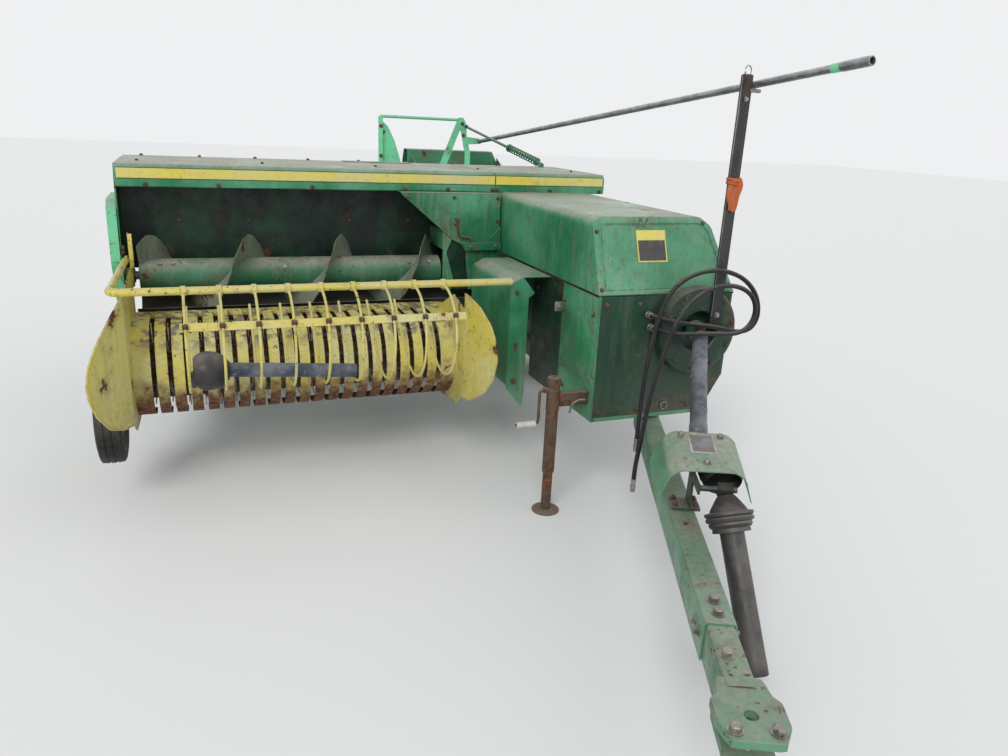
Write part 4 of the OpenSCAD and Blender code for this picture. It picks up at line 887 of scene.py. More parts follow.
class BALER_OT_feeder(bpy.types.Operator):
    """Curved panel beside the mouth, with the pocket and the crank rod behind its edge"""

    bl_idname = "baler.feeder"
    bl_label = "Feeder panel"

    def execute(self, context):
        y0, y1 = 0.338, 0.341
        bm = bmesh.new()
        curve = soften([(0.015, 1.292), (0.243, 1.100), (0.293, 1.056), (0.367, 1.023), (0.391, 0.832)],
            [0, 0.25, 0.12, 0.07, 0], steps=6)
        main = curve + [(0.391, 0.782), (0.561, 0.782), (0.561, 1.292)]
        prism(bm, main, "y", y0, y1)
        tube(bm, [(x, y0 - 0.001, z) for x, z in curve], 0.004, 8)
        sliver = soften([(0.244, 1.098), (0.294, 1.054), (0.262, 0.987), (0.305, 0.845), (0.291, 0.782),
            (0.244, 0.782)], [0.004, 0.02, 0.05, 0.05, 0.004, 0.004], closed=True, steps=5)
        prism(bm, sliver, "y", y0 + 0.001, y1)
        block(bm, (0.243, y1, 1.000), (0.246, 0.599, 1.100), 0.0008)
        block(bm, (0.016, y1, 1.292), (0.562, 0.434, 1.295), 0.0008)
        finish_piece(bm, "feeder_sheet", "chassis", "feeder_green", ("feeder_panel",))
        # The pocket behind the panel's edge is near black: painted shade over dark green.
        bm = bmesh.new()
        prism(bm, [(0.244, 0.782), (0.244, 1.096), (0.430, 1.096), (0.430, 0.782)], "y", 0.356, 0.359)
        block(bm, (0.3915, 0.3405, 0.785), (0.3945, 0.357, 1.030), 0.0005)
        finish_piece(bm, "feeder_pocket", "chassis", "mouth_green_and_shade")
        bm = bmesh.new()
        bar = soften([(0.352, 1.000), (0.352, 1.038), (0.562, 1.038), (0.562, 1.000)], 0.010, closed=True)
        prism(bm, bar, "y", 0.306, 0.3375)
        prism(bm, [(0.470, 1.036), (0.562, 1.036), (0.562, 1.120)], "y", 0.322, 0.330)
        for x in (0.385, 0.530):
            bolt(bm, (x, 0.306, 1.019), (0, -1, 0), 0.017)
        finish_piece(bm, "feeder_bar", "chassis", "frame_green")
        bm = bmesh.new()
        path = [(0.318, 0.334, 1.156), (0.322, 0.330, 1.110), (0.328, 0.327, 1.075), (0.340, 0.326, 1.066),
            (0.376, 0.326, 1.066), (0.389, 0.326, 1.060), (0.394, 0.327, 1.045), (0.402, 0.330, 1.023)]
        tube(bm, path, 0.0055, 10)
        bolt(bm, (0.318, y0, 1.160), (0, -1, 0), 0.017)
        for x, z in ((0.050, 1.270), (0.300, 1.272), (0.545, 1.270), (0.545, 1.150), (0.420, 0.800),
                (0.545, 0.800)):
            bolt(bm, (x, y0, z), (0, -1, 0), 0.013, 0.0, x * 9)
        finish_piece(bm, "feeder_crank", "chassis", "bolt_rusty")
        return {"FINISHED"}


class BALER_OT_box_guard(bpy.types.Operator):
    """Deep folded guard over the pickup's drive, pointed at the bottom"""

    bl_idname = "baler.box_guard"
    bl_label = "Box guard"

    def execute(self, context):
        t, plate = 0.003, -0.3428
        bm = bmesh.new()
        wrap = folded([(0.3667, 0.452), (0.3667, 0.944), (0.4305, 0.9755), (0.5705, 0.9755)], t,
            [0, 0.030, 0.040, 0], longest=0.05)
        prism(bm, wrap, "y", -0.340, 0.200, 10)
        face = soften([(0.366, 0.432), (0.366, 0.944), (0.430, 0.9765), (0.489, 0.900), (0.478, 0.890),
            (0.460, 0.880), (0.460, 0.420), (0.452, 0.333), (0.380, 0.420)],
            [0.006, 0.030, 0.012, 0.006, 0.008, 0.010, 0.012, 0.010, 0.010], closed=True, steps=4)
        prism(bm, face, "y", plate, -0.3402)
        lip = [(0.4575, -0.3405), (0.4575, -0.318)]
        prism(bm, folded(lip, 0.0026, 0.0), "z", 0.420, 0.878, 6)
        tube(bm, [(0.4305, -0.3395, 0.9742), (0.4895, -0.3395, 0.9000)], 0.0024, 8)
        dent(bm, 0.0016, 0.22, 8.0)
        for v in bm.verts:
            v.co.y = max(v.co.y, -0.3429)
            v.co.x = min(max(v.co.x, 0.3651), 0.5708)
            v.co.z = min(v.co.z, 0.9769)
        finish_piece(bm, "box_guard_sheet", "chassis", "shield_green", ("box_guard",))
        bm = bmesh.new()
        bolt(bm, (0.402, plate, 0.470), (0, -1, 0), 0.019)
        bolt(bm, (0.398, plate, 0.905), (0, -1, 0), 0.015)
        turns = [k * math.pi / 8 + 0.01 for k in range(16)]
        slot = [(0.405 + 0.008 * math.cos(a),
            0.640 + 0.016 * (1 if math.sin(a) > 0 else -1) + 0.008 * math.sin(a)) for a in turns]
        prism(bm, slot, "y", -0.3434, -0.3427)
        finish_piece(bm, "box_guard_bolts", "chassis", "bolt_rusty")
        return {"FINISHED"}


class BALER_OT_shields(bpy.types.Operator):
    """Upper and lower drive shields with their inset front, panels, plates, seal and rims"""

    bl_idname = "baler.shields"
    bl_label = "Drive shields"

    def execute(self, context):
        self.upper()
        self.lower()
        self.trimmings()
        return {"FINISHED"}

    def lean(self, z):
        """Where the leaning front stands at a height."""
        return UPPER_FRONT + (z - SEAM_Z) * UPPER_LEAN

    def upper(self):
        """The bent skin, drawn forward to the leaning front."""
        t = 0.003
        line = [(SHIELD_X0 + t / 2, SEAM_Z + 0.002), (SHIELD_X0 + t / 2, 1.2985), (1.105, 1.2985),
            (1.1595, 1.2615), (1.2485, SEAM_Z + 0.002)]
        wrap = folded(line, t, [0, 0.045, 0.035, 0.05, 0], longest=0.05)
        bm = bmesh.new()
        first = -0.80
        rows = prism(bm, wrap, "y", first, UPPER_REAR, 22)
        for row in rows:
            for v in row:
                share = (v.co.y - first) / (UPPER_REAR - first)
                start = self.lean(v.co.z) + 0.001
                v.co.y = start + (UPPER_REAR - start) * share
        front = soften([(0.600, SEAM_Z + 0.014), (0.600, 1.270), (1.098, 1.270), (1.140, 1.245),
            (1.222, SEAM_Z + 0.014)], [0.01, 0.045, 0.03, 0.04, 0.01], closed=True, steps=6)
        rim = soften([(SHIELD_X0 + 0.0002, SEAM_Z + 0.002), (SHIELD_X0 + 0.0002, 1.2998), (1.105, 1.2998),
            (1.1604, 1.2622), (1.2496, SEAM_Z + 0.002)], [0.002, 0.045, 0.035, 0.05, 0.002], closed=True,
            steps=6)
        self.framed(bm, rim, front)
        finish_piece(bm, "upper_shield_sheet", "chassis", "shield_green",
            ("upper_drive_shield",))

    def framed(self, bm, rim, front):
        """A leaning front with a raised border round an inset plate."""
        centre = (0.90, 1.13)
        inset = [min(front, key=lambda q: (q[0] - p[0]) ** 2 + (q[1] - p[1]) ** 2) for p in rim]
        rows = []
        for share, back in ((0.0, 0.0015), (0.08, 0.0002), (0.85, 0.0002), (0.97, 0.003), (1.0, 0.008),
                (1.02, 0.008), (1.03, 0.0022)):
            row = []
            for p, q in zip(rim, inset):
                a, b, part = (p, q, share) if share <= 1.0 else (q, centre, share - 1.0)
                x, z = a[0] + (b[0] - a[0]) * part, a[1] + (b[1] - a[1]) * part
                row.append(bm.verts.new((x, self.lean(z) + back, z)))
            rows.append(row)
        back = [bm.verts.new((v.co.x, v.co.y + 0.003, v.co.z)) for v in rows[0]]
        join_rings(bm, [back] + rows, ends=False)
        bm.faces.new(rows[-1])
        bm.faces.new(list(reversed(back)))
        bmesh.ops.remove_doubles(bm, verts=bm.verts[:], dist=0.00005)

    def lower(self):
        """Sides, the front bent round its corner, and the ring round the drive shaft."""
        t = 0.003
        y = SHIELD_Y + 0.0017
        low, high = SHIELD_Z0 + 0.001, SEAM_Z - 0.001
        taper_x, taper_wide, taper_high = 1.137, 0.069, 0.148
        x0, x1 = SHIELD_X0 + 0.0017, SHIELD_X1 - 0.0017
        # The front part of the side takes the shield paint; the rear part, back in the guard's depth, takes
        # its darker copy as painted shade.
        for y0, y1, name, finish in ((SHIELD_STEP, y - 0.0014, "lower_shield_side", "shield_green"),
                (SHIELD_REAR, SHIELD_STEP - 0.001, "lower_shield_rear_side", "shaded_shield_green")):
            bm = bmesh.new()
            prism(bm, folded([(x0, y0), (x0, y1)], t, [0, 0], longest=0.05), "z", low, high, 22)
            finish_piece(bm, name, "chassis", finish, ("lower_drive_shield",))
        bm = bmesh.new()
        plan = folded([(x0 + 0.0016, y), (x1, y), (x1, SHIELD_REAR)], t, [0, 0.014, 0], longest=0.035,
            steps=6)
        rows = prism(bm, plan, "z", low, high, 22)
        for row in rows:
            for v in row:
                if v.co.x > taper_x - 0.002:
                    edge = min(low + max(0.0, (v.co.x - taper_x) / taper_wide * taper_high), 0.600)
                    share = (v.co.z - low) / (high - low)
                    v.co.z = edge + (high - edge) * share
        profile = [(0.194, 0.0), (0.1945, 0.046), (0.190, 0.0555), (0.180, 0.0608), (0.150, 0.0616),
            (0.105, 0.0618), (0.096, 0.0614), (0.0905, 0.0555), (0.0905, 0.050)]
        turned(bm, profile, (DRIVE_X, SHIELD_Y, DRIVE_Z), (0, -1, 0), 64, ends=False)
        turned(bm, [(0.1935, 0.002), (0.0915, 0.002), (0.0915, 0.050)], (DRIVE_X, SHIELD_Y, DRIVE_Z),
            (0, -1, 0), 64, ends=False)
        # The front and the ring take the darker copy of the shield paint: painted shade.
        finish_piece(bm, "lower_shield_sheet", "chassis", "shaded_shield_green",
            ("lower_drive_shield",))

    def trimmings(self):
        """Cover plates, tab, seal, blank sign, rings and bolts."""
        bm = bmesh.new()
        prism(bm, [(SHIELD_X0 - 0.0002, -0.838), (SHIELD_X0 - 0.0002, -0.500), (SHIELD_X0 + 0.0006, -0.500),
            (SHIELD_X0 + 0.0006, -0.838)], "z", 0.446, 0.572)
        block(bm, (SHIELD_X0 - 0.0004, -0.832, 0.590), (SHIELD_X0 + 0.0010, -0.486, 0.870), 0.0006)
        lip = [(-0.8385, 0.4285), (-0.838, 0.4455), (-0.8355, 0.4455), (-0.835, 0.4285)]
        prism(bm, lip, "x", SHIELD_X0 + 0.012, 1.135, 8)
        finish_piece(bm, "shield_cover_plates", "chassis", "shield_green")
        bm = bmesh.new()
        block(bm, (SHIELD_X0 - 0.050, -0.5050, 0.850), (SHIELD_X0 - 0.0006, -0.5022, 0.894), 0.0008)
        block(bm, (SHIELD_X0 - 0.0036, -0.5022, 0.850), (SHIELD_X0 - 0.0006, -0.4800, 0.894), 0.0008)
        bolt(bm, (SHIELD_X0 - 0.028, -0.5050, 0.872), (0, -1, 0), 0.012)
        finish_piece(bm, "shield_tab", "chassis", "worn_steel")
        bm = bmesh.new()
        block(bm, (SHIELD_X0 + 0.002, -0.826, SEAM_Z - 0.0065), (SHIELD_X1 + 0.006, -0.820, SEAM_Z + 0.002),
            0.001)
        block(bm, (SHIELD_X0 - 0.001, -0.820, SEAM_Z - 0.0065), (SHIELD_X0 + 0.002, -0.150,
            SEAM_Z + 0.0045), 0.0008)
        finish_piece(bm, "shield_seal", "chassis", "seal_black")
        bm = bmesh.new()
        self.slab(bm, 0.775, 0.920, 1.116, 1.246, 0.0006, 0.0012)
        finish_piece(bm, "sign_rim", "chassis", "stripe_yellow")
        bm = bmesh.new()
        self.slab(bm, 0.781, 0.914, 1.122, 1.205, 0.0011, 0.001)
        finish_piece(bm, "sign_face", "chassis", "plate_dark")
        bm = bmesh.new()
        for x in (0.790, 0.825):
            ring = [(x + 0.015 * math.cos(a), self.lean(1.285) - 0.010 + 0.006 * math.cos(a),
                1.280 + 0.019 * math.sin(a)) for a in (k * math.pi / 9 - 0.6 for k in range(18))]
            tube(bm, ring, 0.0024, 8)
        ring = [(0.935 + 0.017 * math.cos(a), SHIELD_Y - 0.004,
            0.477 + 0.017 * math.sin(a)) for a in (k * math.pi / 10 for k in range(20))]
        tube(bm, ring + ring[:1], 0.0028, 8)
        finish_piece(bm, "shield_rings", "chassis", "worn_steel")
        bm = bmesh.new()
        for x, z in ((0.600, 0.470), (0.600, 0.950), (0.760, 0.950), (1.215, 0.950), (0.800, 0.470),
                (1.060, 0.470)):
            bolt(bm, (x, SHIELD_Y + 0.0002, z), (0, -1, 0), 0.015, 0.0, x * 7)
        for k in range(10):
            a = 2 * math.pi * k / 10 + 0.2
            bolt(bm, (DRIVE_X + 0.168 * math.cos(a), -0.8995, DRIVE_Z + 0.168 * math.sin(a)), (0, -1, 0),
                0.013)
        for y, z in ((-0.790, 0.508), (-0.540, 0.508), (-0.790, 0.900), (-0.500, 0.900), (-0.200, 0.900),
                (-0.200, 0.480)):
            bolt(bm, (SHIELD_X0 + 0.0004, y, z), (-1, 0, 0), 0.015, 0.0, y * 5)
        for x, z in ((0.586, 1.010), (0.586, 1.240), (1.120, 1.274), (1.226, 1.015)):
            bolt(bm, (x, self.lean(z), z), (0, -1, 0.384), 0.013)
        finish_piece(bm, "shield_bolts", "chassis", "bolt_rusty")

    def slab(self, bm, x0, x1, z0, z1, lift, thick):
        """A plate lying on the leaning front."""
        corners = [(x, self.lean(z) - lift, z) for x, z in ((x0, z0), (x1, z0), (x1, z1), (x0, z1))]
        front = [bm.verts.new(p) for p in corners]
        back = [bm.verts.new((x, y + thick, z)) for x, y, z in corners]
        join_rings(bm, [back, front])


class BALER_OT_auger(bpy.types.Operator):
    """Auger tube and its flight as a smooth screw, with bolts and the bearing plate"""

    bl_idname = "baler.auger"
    bl_label = "Auger"

    def execute(self, context):
        bm = bmesh.new()
        profile = [(0.0204, -1.2395), (0.0745, -1.2395), (AUGER_TUBE_R, -1.237), (AUGER_TUBE_R, 0.2335),
            (0.0745, 0.236), (0.0204, 0.236)]
        turned_ring(bm, densify(profile, 0.05), (0, AUGER_Y, AUGER_Z), (1, 0, 0), 48)
        finish_piece(bm, "auger_pipe", "auger", "auger_green", ("auger_tube",))
        bm = bmesh.new()
        turns = (FLIGHT_X1 - FLIGHT_X0) / AUGER_PITCH
        steps = int(turns * 56)
        rows = []
        for i in range(steps + 1):
            share = i / steps
            a = math.radians(FLIGHT_PHASE) - 2 * math.pi * turns * share
            x = FLIGHT_X0 + (FLIGHT_X1 - FLIGHT_X0) * share
            wave = 0.0022 * math.sin(7.3 * a) + 0.0016 * math.sin(2.1 * a + 1)
            row = []
            for r, off in ((0.0765, -0.0024), (0.130, -0.0024), (0.1870, -0.0022), (0.1895, 0.0),
                    (0.1870, 0.0022), (0.130, 0.0024), (0.0765, 0.0024)):
                lean = wave * (r - 0.0765) / 0.11
                x_at = min(max(x + off + lean, FLIGHT_X0 - 0.0025), FLIGHT_X1 + 0.0025)
                row.append(bm.verts.new(about(x_at, AUGER_Y, AUGER_Z, r, a)))
            rows.append(row)
        join_rings(bm, rows)
        finish_piece(bm, "auger_screw", "auger", "auger_worn", ("auger_flights",))
        coat("worn_steel", "auger_shaft")
        bm = bmesh.new()
        for x, a in ((-1.146, 130.0), (-1.089, 130.0), (-0.575, 150.0), (-0.300, 100.0), (0.060, 140.0),
                (0.170, 140.0)):
            way = about(0, 0, 0, 1, math.radians(a))
            bolt(bm, Vector((x, AUGER_Y, AUGER_Z)) + way * AUGER_TUBE_R, way, 0.017)
        finish_piece(bm, "auger_bolts", "auger", "bolt_zinc")
        # The housing's inside carries painted shade.
        coat("housing_green", "auger_housing")
        coat("auger_green", "auger_boss")
        bm = bmesh.new()
        for y in (0.372, 0.395):
            block(bm, (HOOD_X0, y, 0.992), (-1.295, y + 0.004, 1.030), 0.001)
        for z in (1.000, 1.022):
            bolt(bm, (-1.300, 0.371, z), (0, -1, 0), 0.014)
        for x in (-1.05, -0.72, -0.20, 0.12):
            for z in (1.120, 1.240):
                bolt(bm, (x, 0.6125, z), (0, -1, 0), 0.013)
        finish_piece(bm, "mouth_bolts", "chassis", "bolt_rusty")
        bm = bmesh.new()
        x = HOOD_X0 + 0.0012
        for path in ([(x, 0.371, 0.941), (x, 0.399, 1.291)], [(x, AUGER_Y - 0.160, 0.750),
                (x, AUGER_Y - 0.040, 0.941)]):
            tube(bm, path, 0.0042, 8)
        finish_piece(bm, "mouth_bead", "chassis", "shield_green")
        coat("pale_green", "end_guard")
        return {"FINISHED"}


class BALER_OT_pickup(bpy.types.Operator):
    """Pickup's end plates and bands, with rolled rims and bolts"""

    bl_idname = "baler.pickup"
    bl_label = "Pickup frame and bands"

    def execute(self, context):
        coat("pickup_yellow", "pickup_frame", "outer_end", "inner_end")
        # The pan behind the bands takes dark rust: rust colour, kept dark as painted shade seen through the
        # gaps.
        coat("jack_rust", "pickup_pan")
        coat("band_yellow", "stripper_bands")
        bm = bmesh.new()
        inner = [(0.002, 0.392), (-0.060, 0.395), (-0.170, 0.460), (-0.235, 0.540), (-0.262, 0.640),
            (-0.250, 0.720), (-0.205, 0.790), (-0.120, 0.855), (-0.020, 0.893), (0.002, 0.896)]
        outer = [(0.002, 0.390), (-0.060, 0.392), (-0.150, 0.425), (-0.215, 0.500), (-0.250, 0.580),
            (-0.255, 0.640), (-0.235, 0.700), (-0.190, 0.765), (-0.095, 0.850), (-0.030, 0.905),
            (0.002, 0.930)]
        for x, side, lean, outline in ((PICK_X0 - 0.0015, -1, 31, outer), (PICK_X1 + 0.0015, 1, 16, inner)):
            turn = math.radians(lean)
            path = []
            for y, z in soften(outline, 0.05, steps=3):
                path.append((x - side * y * math.sin(turn), -0.290 + y * math.cos(turn), z))
            tube(bm, path, 0.0046, 8)
        tube(bm, [(PICK_X0 - 0.0015, -0.287, 0.9295), (PICK_X0 - 0.0015, 0.329, 0.9295)], 0.0042, 8)
        block(bm, (PICK_X0 - 0.0026, 0.3275, 0.932), (PICK_X0 + 0.0165, 0.3300, 1.093), 0.0006)
        for x in (PICK_X0 - 0.0015, PICK_X1 + 0.0015):
            low = [(-0.285, 0.391), (-0.200, 0.332), (0.060, 0.302), (0.320, 0.362), (0.440, 0.472)]
            tube(bm, [(x, y, z) for y, z in soften(low, 0.05, steps=4)], 0.0042, 8)
        for x in (PICK_X0 + 0.0002, PICK_X1 - 0.0002):
            side = 1 if x < 0 else -1
            hub = [(0.0245, 0.0), (0.052, 0.001), (0.052, 0.004), (0.040, 0.010), (0.0245, 0.012)]
            turned_ring(bm, hub, (x - side * 0.004, REEL_Y, REEL_Z), (-side, 0, 0), 32)
        finish_piece(bm, "pickup_rims", "pickup", "pickup_yellow")
        bm = bmesh.new()
        for x, way in ((PICK_X0 - 0.0032, -1), (PICK_X1 + 0.0032, 1)):
            for y, z in ((-0.240, 0.470), (-0.240, 0.620), (-0.240, 0.760), (0.020, 0.360), (0.180, 0.640),
                    (0.300, 0.400), (0.400, 0.500)):
                bolt(bm, (x, y, z), (way, 0, 0), 0.015, 0.006, y * 9)
        head = [(0.0062, 0.0), (0.0056, 0.0022), (0.0030, 0.0034), (0.0008, 0.0036)]
        low = math.radians(278)
        pitch = (PICK_X1 - PICK_X0 - 2 * TINE_MARGIN) / (TINE_COUNT - 1)
        for i in range(TINE_COUNT - 1):
            x = PICK_X0 + TINE_MARGIN + pitch * (i + 0.5)
            turned(bm, head, (x, 0.205, REEL_Z + 0.209), (0, 0, 1), 12)
            turned(bm, head, about(x, REEL_Y, REEL_Z, 0.209, low), about(0, 0, 0, 1, low), 12)
        finish_piece(bm, "pickup_bolts", "pickup", "bolt_rusty")
        bm = bmesh.new()
        block(bm, (PICK_X0 + 0.001, 0.223, 0.7425), (PICK_X1 - 0.001, 0.238, 0.7450), 0.001)
        finish_piece(bm, "pickup_strip", "pickup", "band_yellow")
        return {"FINISHED"}


class BALER_OT_reel(bpy.types.Operator):
    """Reel of four bars with sprung double tines"""

    bl_idname = "baler.reel"
    bl_label = "Tine reel"

    def execute(self, context):
        wire = context.scene.baler_parts.tine_wire
        first = PICK_X0 + TINE_MARGIN
        pitch = (PICK_X1 - PICK_X0 - 2 * TINE_MARGIN) / (TINE_COUNT - 1)
        bm = bmesh.new()
        for k in range(4):
            turn = math.radians(REEL_TURN + 90 * k)
            out = about(0, 0, 0, 1, turn)
            across = Vector((0, -math.sin(turn), math.cos(turn)))
            hub = Vector((0, REEL_Y, REEL_Z))
            for i in range(TINE_COUNT):
                x = first + pitch * i
                side = 1 if i % 2 == 0 else -1
                path = []
                for s in range(19):
                    a = 2 * math.pi * s / 9
                    ring = out * math.cos(a) * 0.0175 + across * math.sin(a) * 0.0175
                    path.append(hub + out * BAR_R + ring + Vector((x + side * (0.018 - 0.0009 * s), 0, 0)))
                lean = -0.006 * math.sin(i * 1.7 + k)
                path.append(hub + out * (BAR_R + 0.030) + across * 0.016 + Vector((x + side * 0.0006, 0, 0)))
                path.append(hub + out * (BAR_R + 0.070) + across * 0.008 + Vector((x, 0, 0)))
                path.append(hub + out * (TINE_R - 0.030) + across * (0.002 + lean) + Vector((x, 0, 0)))
                path.append(hub + out * (TINE_R - 0.0008) + across * (lean - 0.006) + Vector((x, 0, 0)))
                tube(bm, path, wire, 6)
        finish_piece(bm, "reel_tines", "reel", "tine_steel", ("tine_reel",))
        bm = bmesh.new()
        x0, x1 = PICK_X0 - 0.009, PICK_X1 + 0.009
        line = densify([(0.0205, x0), (0.0238, x0 + 0.003), (0.0238, x1 - 0.003), (0.0205, x1)], 0.2)
        turned(bm, line, (0, REEL_Y, REEL_Z), (1, 0, 0), 24)
        for k in range(4):
            turn = math.radians(REEL_TURN + 90 * k)
            at = about(0, REEL_Y, REEL_Z, BAR_R, turn)
            bar = densify([(0.0115, PICK_X0 + 0.0122), (0.0128, PICK_X0 + 0.014), (0.0128, PICK_X1 - 0.014),
                (0.0115, PICK_X1 - 0.0122)], 0.2)
            turned(bm, bar, at, (1, 0, 0), 14)
        for x in (PICK_X0 + 0.014, -0.560, PICK_X1 - 0.022):
            self.spider(bm, x)
        finish_piece(bm, "reel_bars", "reel", "cast_iron")
        return {"FINISHED"}

    def spider(self, bm, x):
        """Four-armed plate that carries the bars."""
        outline = []
        for k in range(4):
            turn = math.radians(REEL_TURN + 90 * k)
            for a, r in ((-45, 0.036), (-22, 0.046), (-8, 0.095), (-7.0, 0.130), (-4, 0.1425), (4, 0.1425),
                    (7.0, 0.130), (8, 0.095), (22, 0.046)):
                b = turn + math.radians(a)
                outline.append((REEL_Y + r * math.cos(b), REEL_Z + r * math.sin(b)))
        prism(bm, outline, "x", x, x + 0.008)


class BALER_OT_windguard(bpy.types.Operator):
    """Windguard with its bolted rods, clips and pipe ends"""

    bl_idname = "baler.windguard"
    bl_label = "Windguard"

    def execute(self, context):
        coat("guard_yellow", "windguard")
        bm = bmesh.new()
        way = about(0, 0, 0, 1, math.radians(148))
        middle = Vector((0, BEND_Y, BEND_Z))
        for k in range(ROD_COUNT):
            x = ROD_X0 + ROD_PITCH * k
            at = middle + way * (GUARD_BEND + 0.0055) + Vector((x, 0, 0))
            bolt(bm, at - way * 0.002, way, 0.016, 0.003, k * 0.7)
            block(bm, at - Vector((0.011, 0.004, 0.012)), at + Vector((0.011, 0.002, 0.010)), 0.002)
        finish_piece(bm, "guard_clips", "windguard", "bolt_rusty")
        bm = bmesh.new()
        for k in range(ROD_COUNT):
            x = ROD_X0 + ROD_PITCH * k
            ring = [(0.0163, -0.012), (0.0205, -0.010), (0.0205, 0.010), (0.0163, 0.012)]
            turned_ring(bm, ring, (x, GUARD_Y, GUARD_Z), (1, 0, 0), 20)
        lip = [(0.0162, -0.003), (0.0172, 0.0), (0.0162, 0.003)]
        turned_ring(bm, lip, (PICK_X1 + 0.1886, GUARD_Y, GUARD_Z), (1, 0, 0), 20)
        finish_piece(bm, "guard_collars", "windguard", "guard_yellow")
        return {"FINISHED"}


class BALER_OT_stored_shaft(bpy.types.Operator):
    """Half of a drive shaft lying on the guard rods, with its bell and fork"""

    bl_idname = "baler.stored_shaft"
    bl_label = "Stored shaft"

    def execute(self, context):
        y, z = -0.405, 0.640
        start = Vector((-0.905, y, z))
        tail = Vector((-0.370, y, 0.5998))
        way = (tail - start).normalized()
        bm = bmesh.new()
        bell = [(0.012, -0.020), (0.031, -0.018), (0.040, -0.012), (0.0545, 0.001), (0.0640, 0.010),
            (0.0695, 0.021), (0.0755, 0.033), (0.0785, 0.046), (0.0800, 0.058), (0.0803, 0.070),
            (0.0790, 0.083), (0.0755, 0.095), (0.0700, 0.106), (0.0630, 0.115), (0.0545, 0.1225),
            (0.0500, 0.1215), (0.0590, 0.1115), (0.0685, 0.0990), (0.0745, 0.084), (0.0760, 0.068),
            (0.0735, 0.046), (0.0640, 0.022), (0.0490, 0.006), (0.020, 0.002)]
        turned_ring(bm, bell, start, (-1, 0, 0), 40)
        for a in (0.052, 0.066):
            turned_ring(bm, [(0.076, a), (0.0810, a + 0.001), (0.0810, a + 0.005), (0.076, a + 0.006)],
                start, (-1, 0, 0), 40)
        finish_piece(bm, "store_shaft_guard", "windguard", "shaft_black", ("stored_shaft",))
        bm = bmesh.new()
        far = (tail - start).length
        line = [(0.0292, 0.004), (0.0300, 0.010), (0.0300, far - 0.004), (0.0285, far), (0.0240, far),
            (0.0240, far - 0.08)]
        turned(bm, densify(line, 0.08), start, way, 32)
        finish_piece(bm, "store_shaft_tube", "windguard", "shaft_blue", ("stored_shaft",))
        bm = bmesh.new()
        fork = [(-1.026, 0.572), (-1.050, 0.584), (-1.050, 0.626), (-1.030, 0.640), (-0.985, 0.652),
            (-0.960, 0.652), (-0.960, 0.628), (-0.990, 0.624), (-1.008, 0.612), (-1.008, 0.590)]
        for y0, y1 in ((-0.4208, -0.4100), (-0.4000, -0.3892)):
            prism(bm, soften(fork, 0.008, closed=True, steps=3), "y", y0, y1)
        turned(bm, [(0.008, -0.0155), (0.0105, -0.014), (0.0105, 0.014), (0.008, 0.0155)],
            (-1.030, y, 0.606), (0, 1, 0), 20)
        turned(bm, [(0.010, 0.0), (0.024, 0.002), (0.026, 0.030), (0.020, 0.060), (0.010, 0.062)],
            (-0.985, y, z), (1, 0, 0), 24)
        finish_piece(bm, "store_shaft_fork", "windguard", "cast_iron")
        return {"FINISHED"}


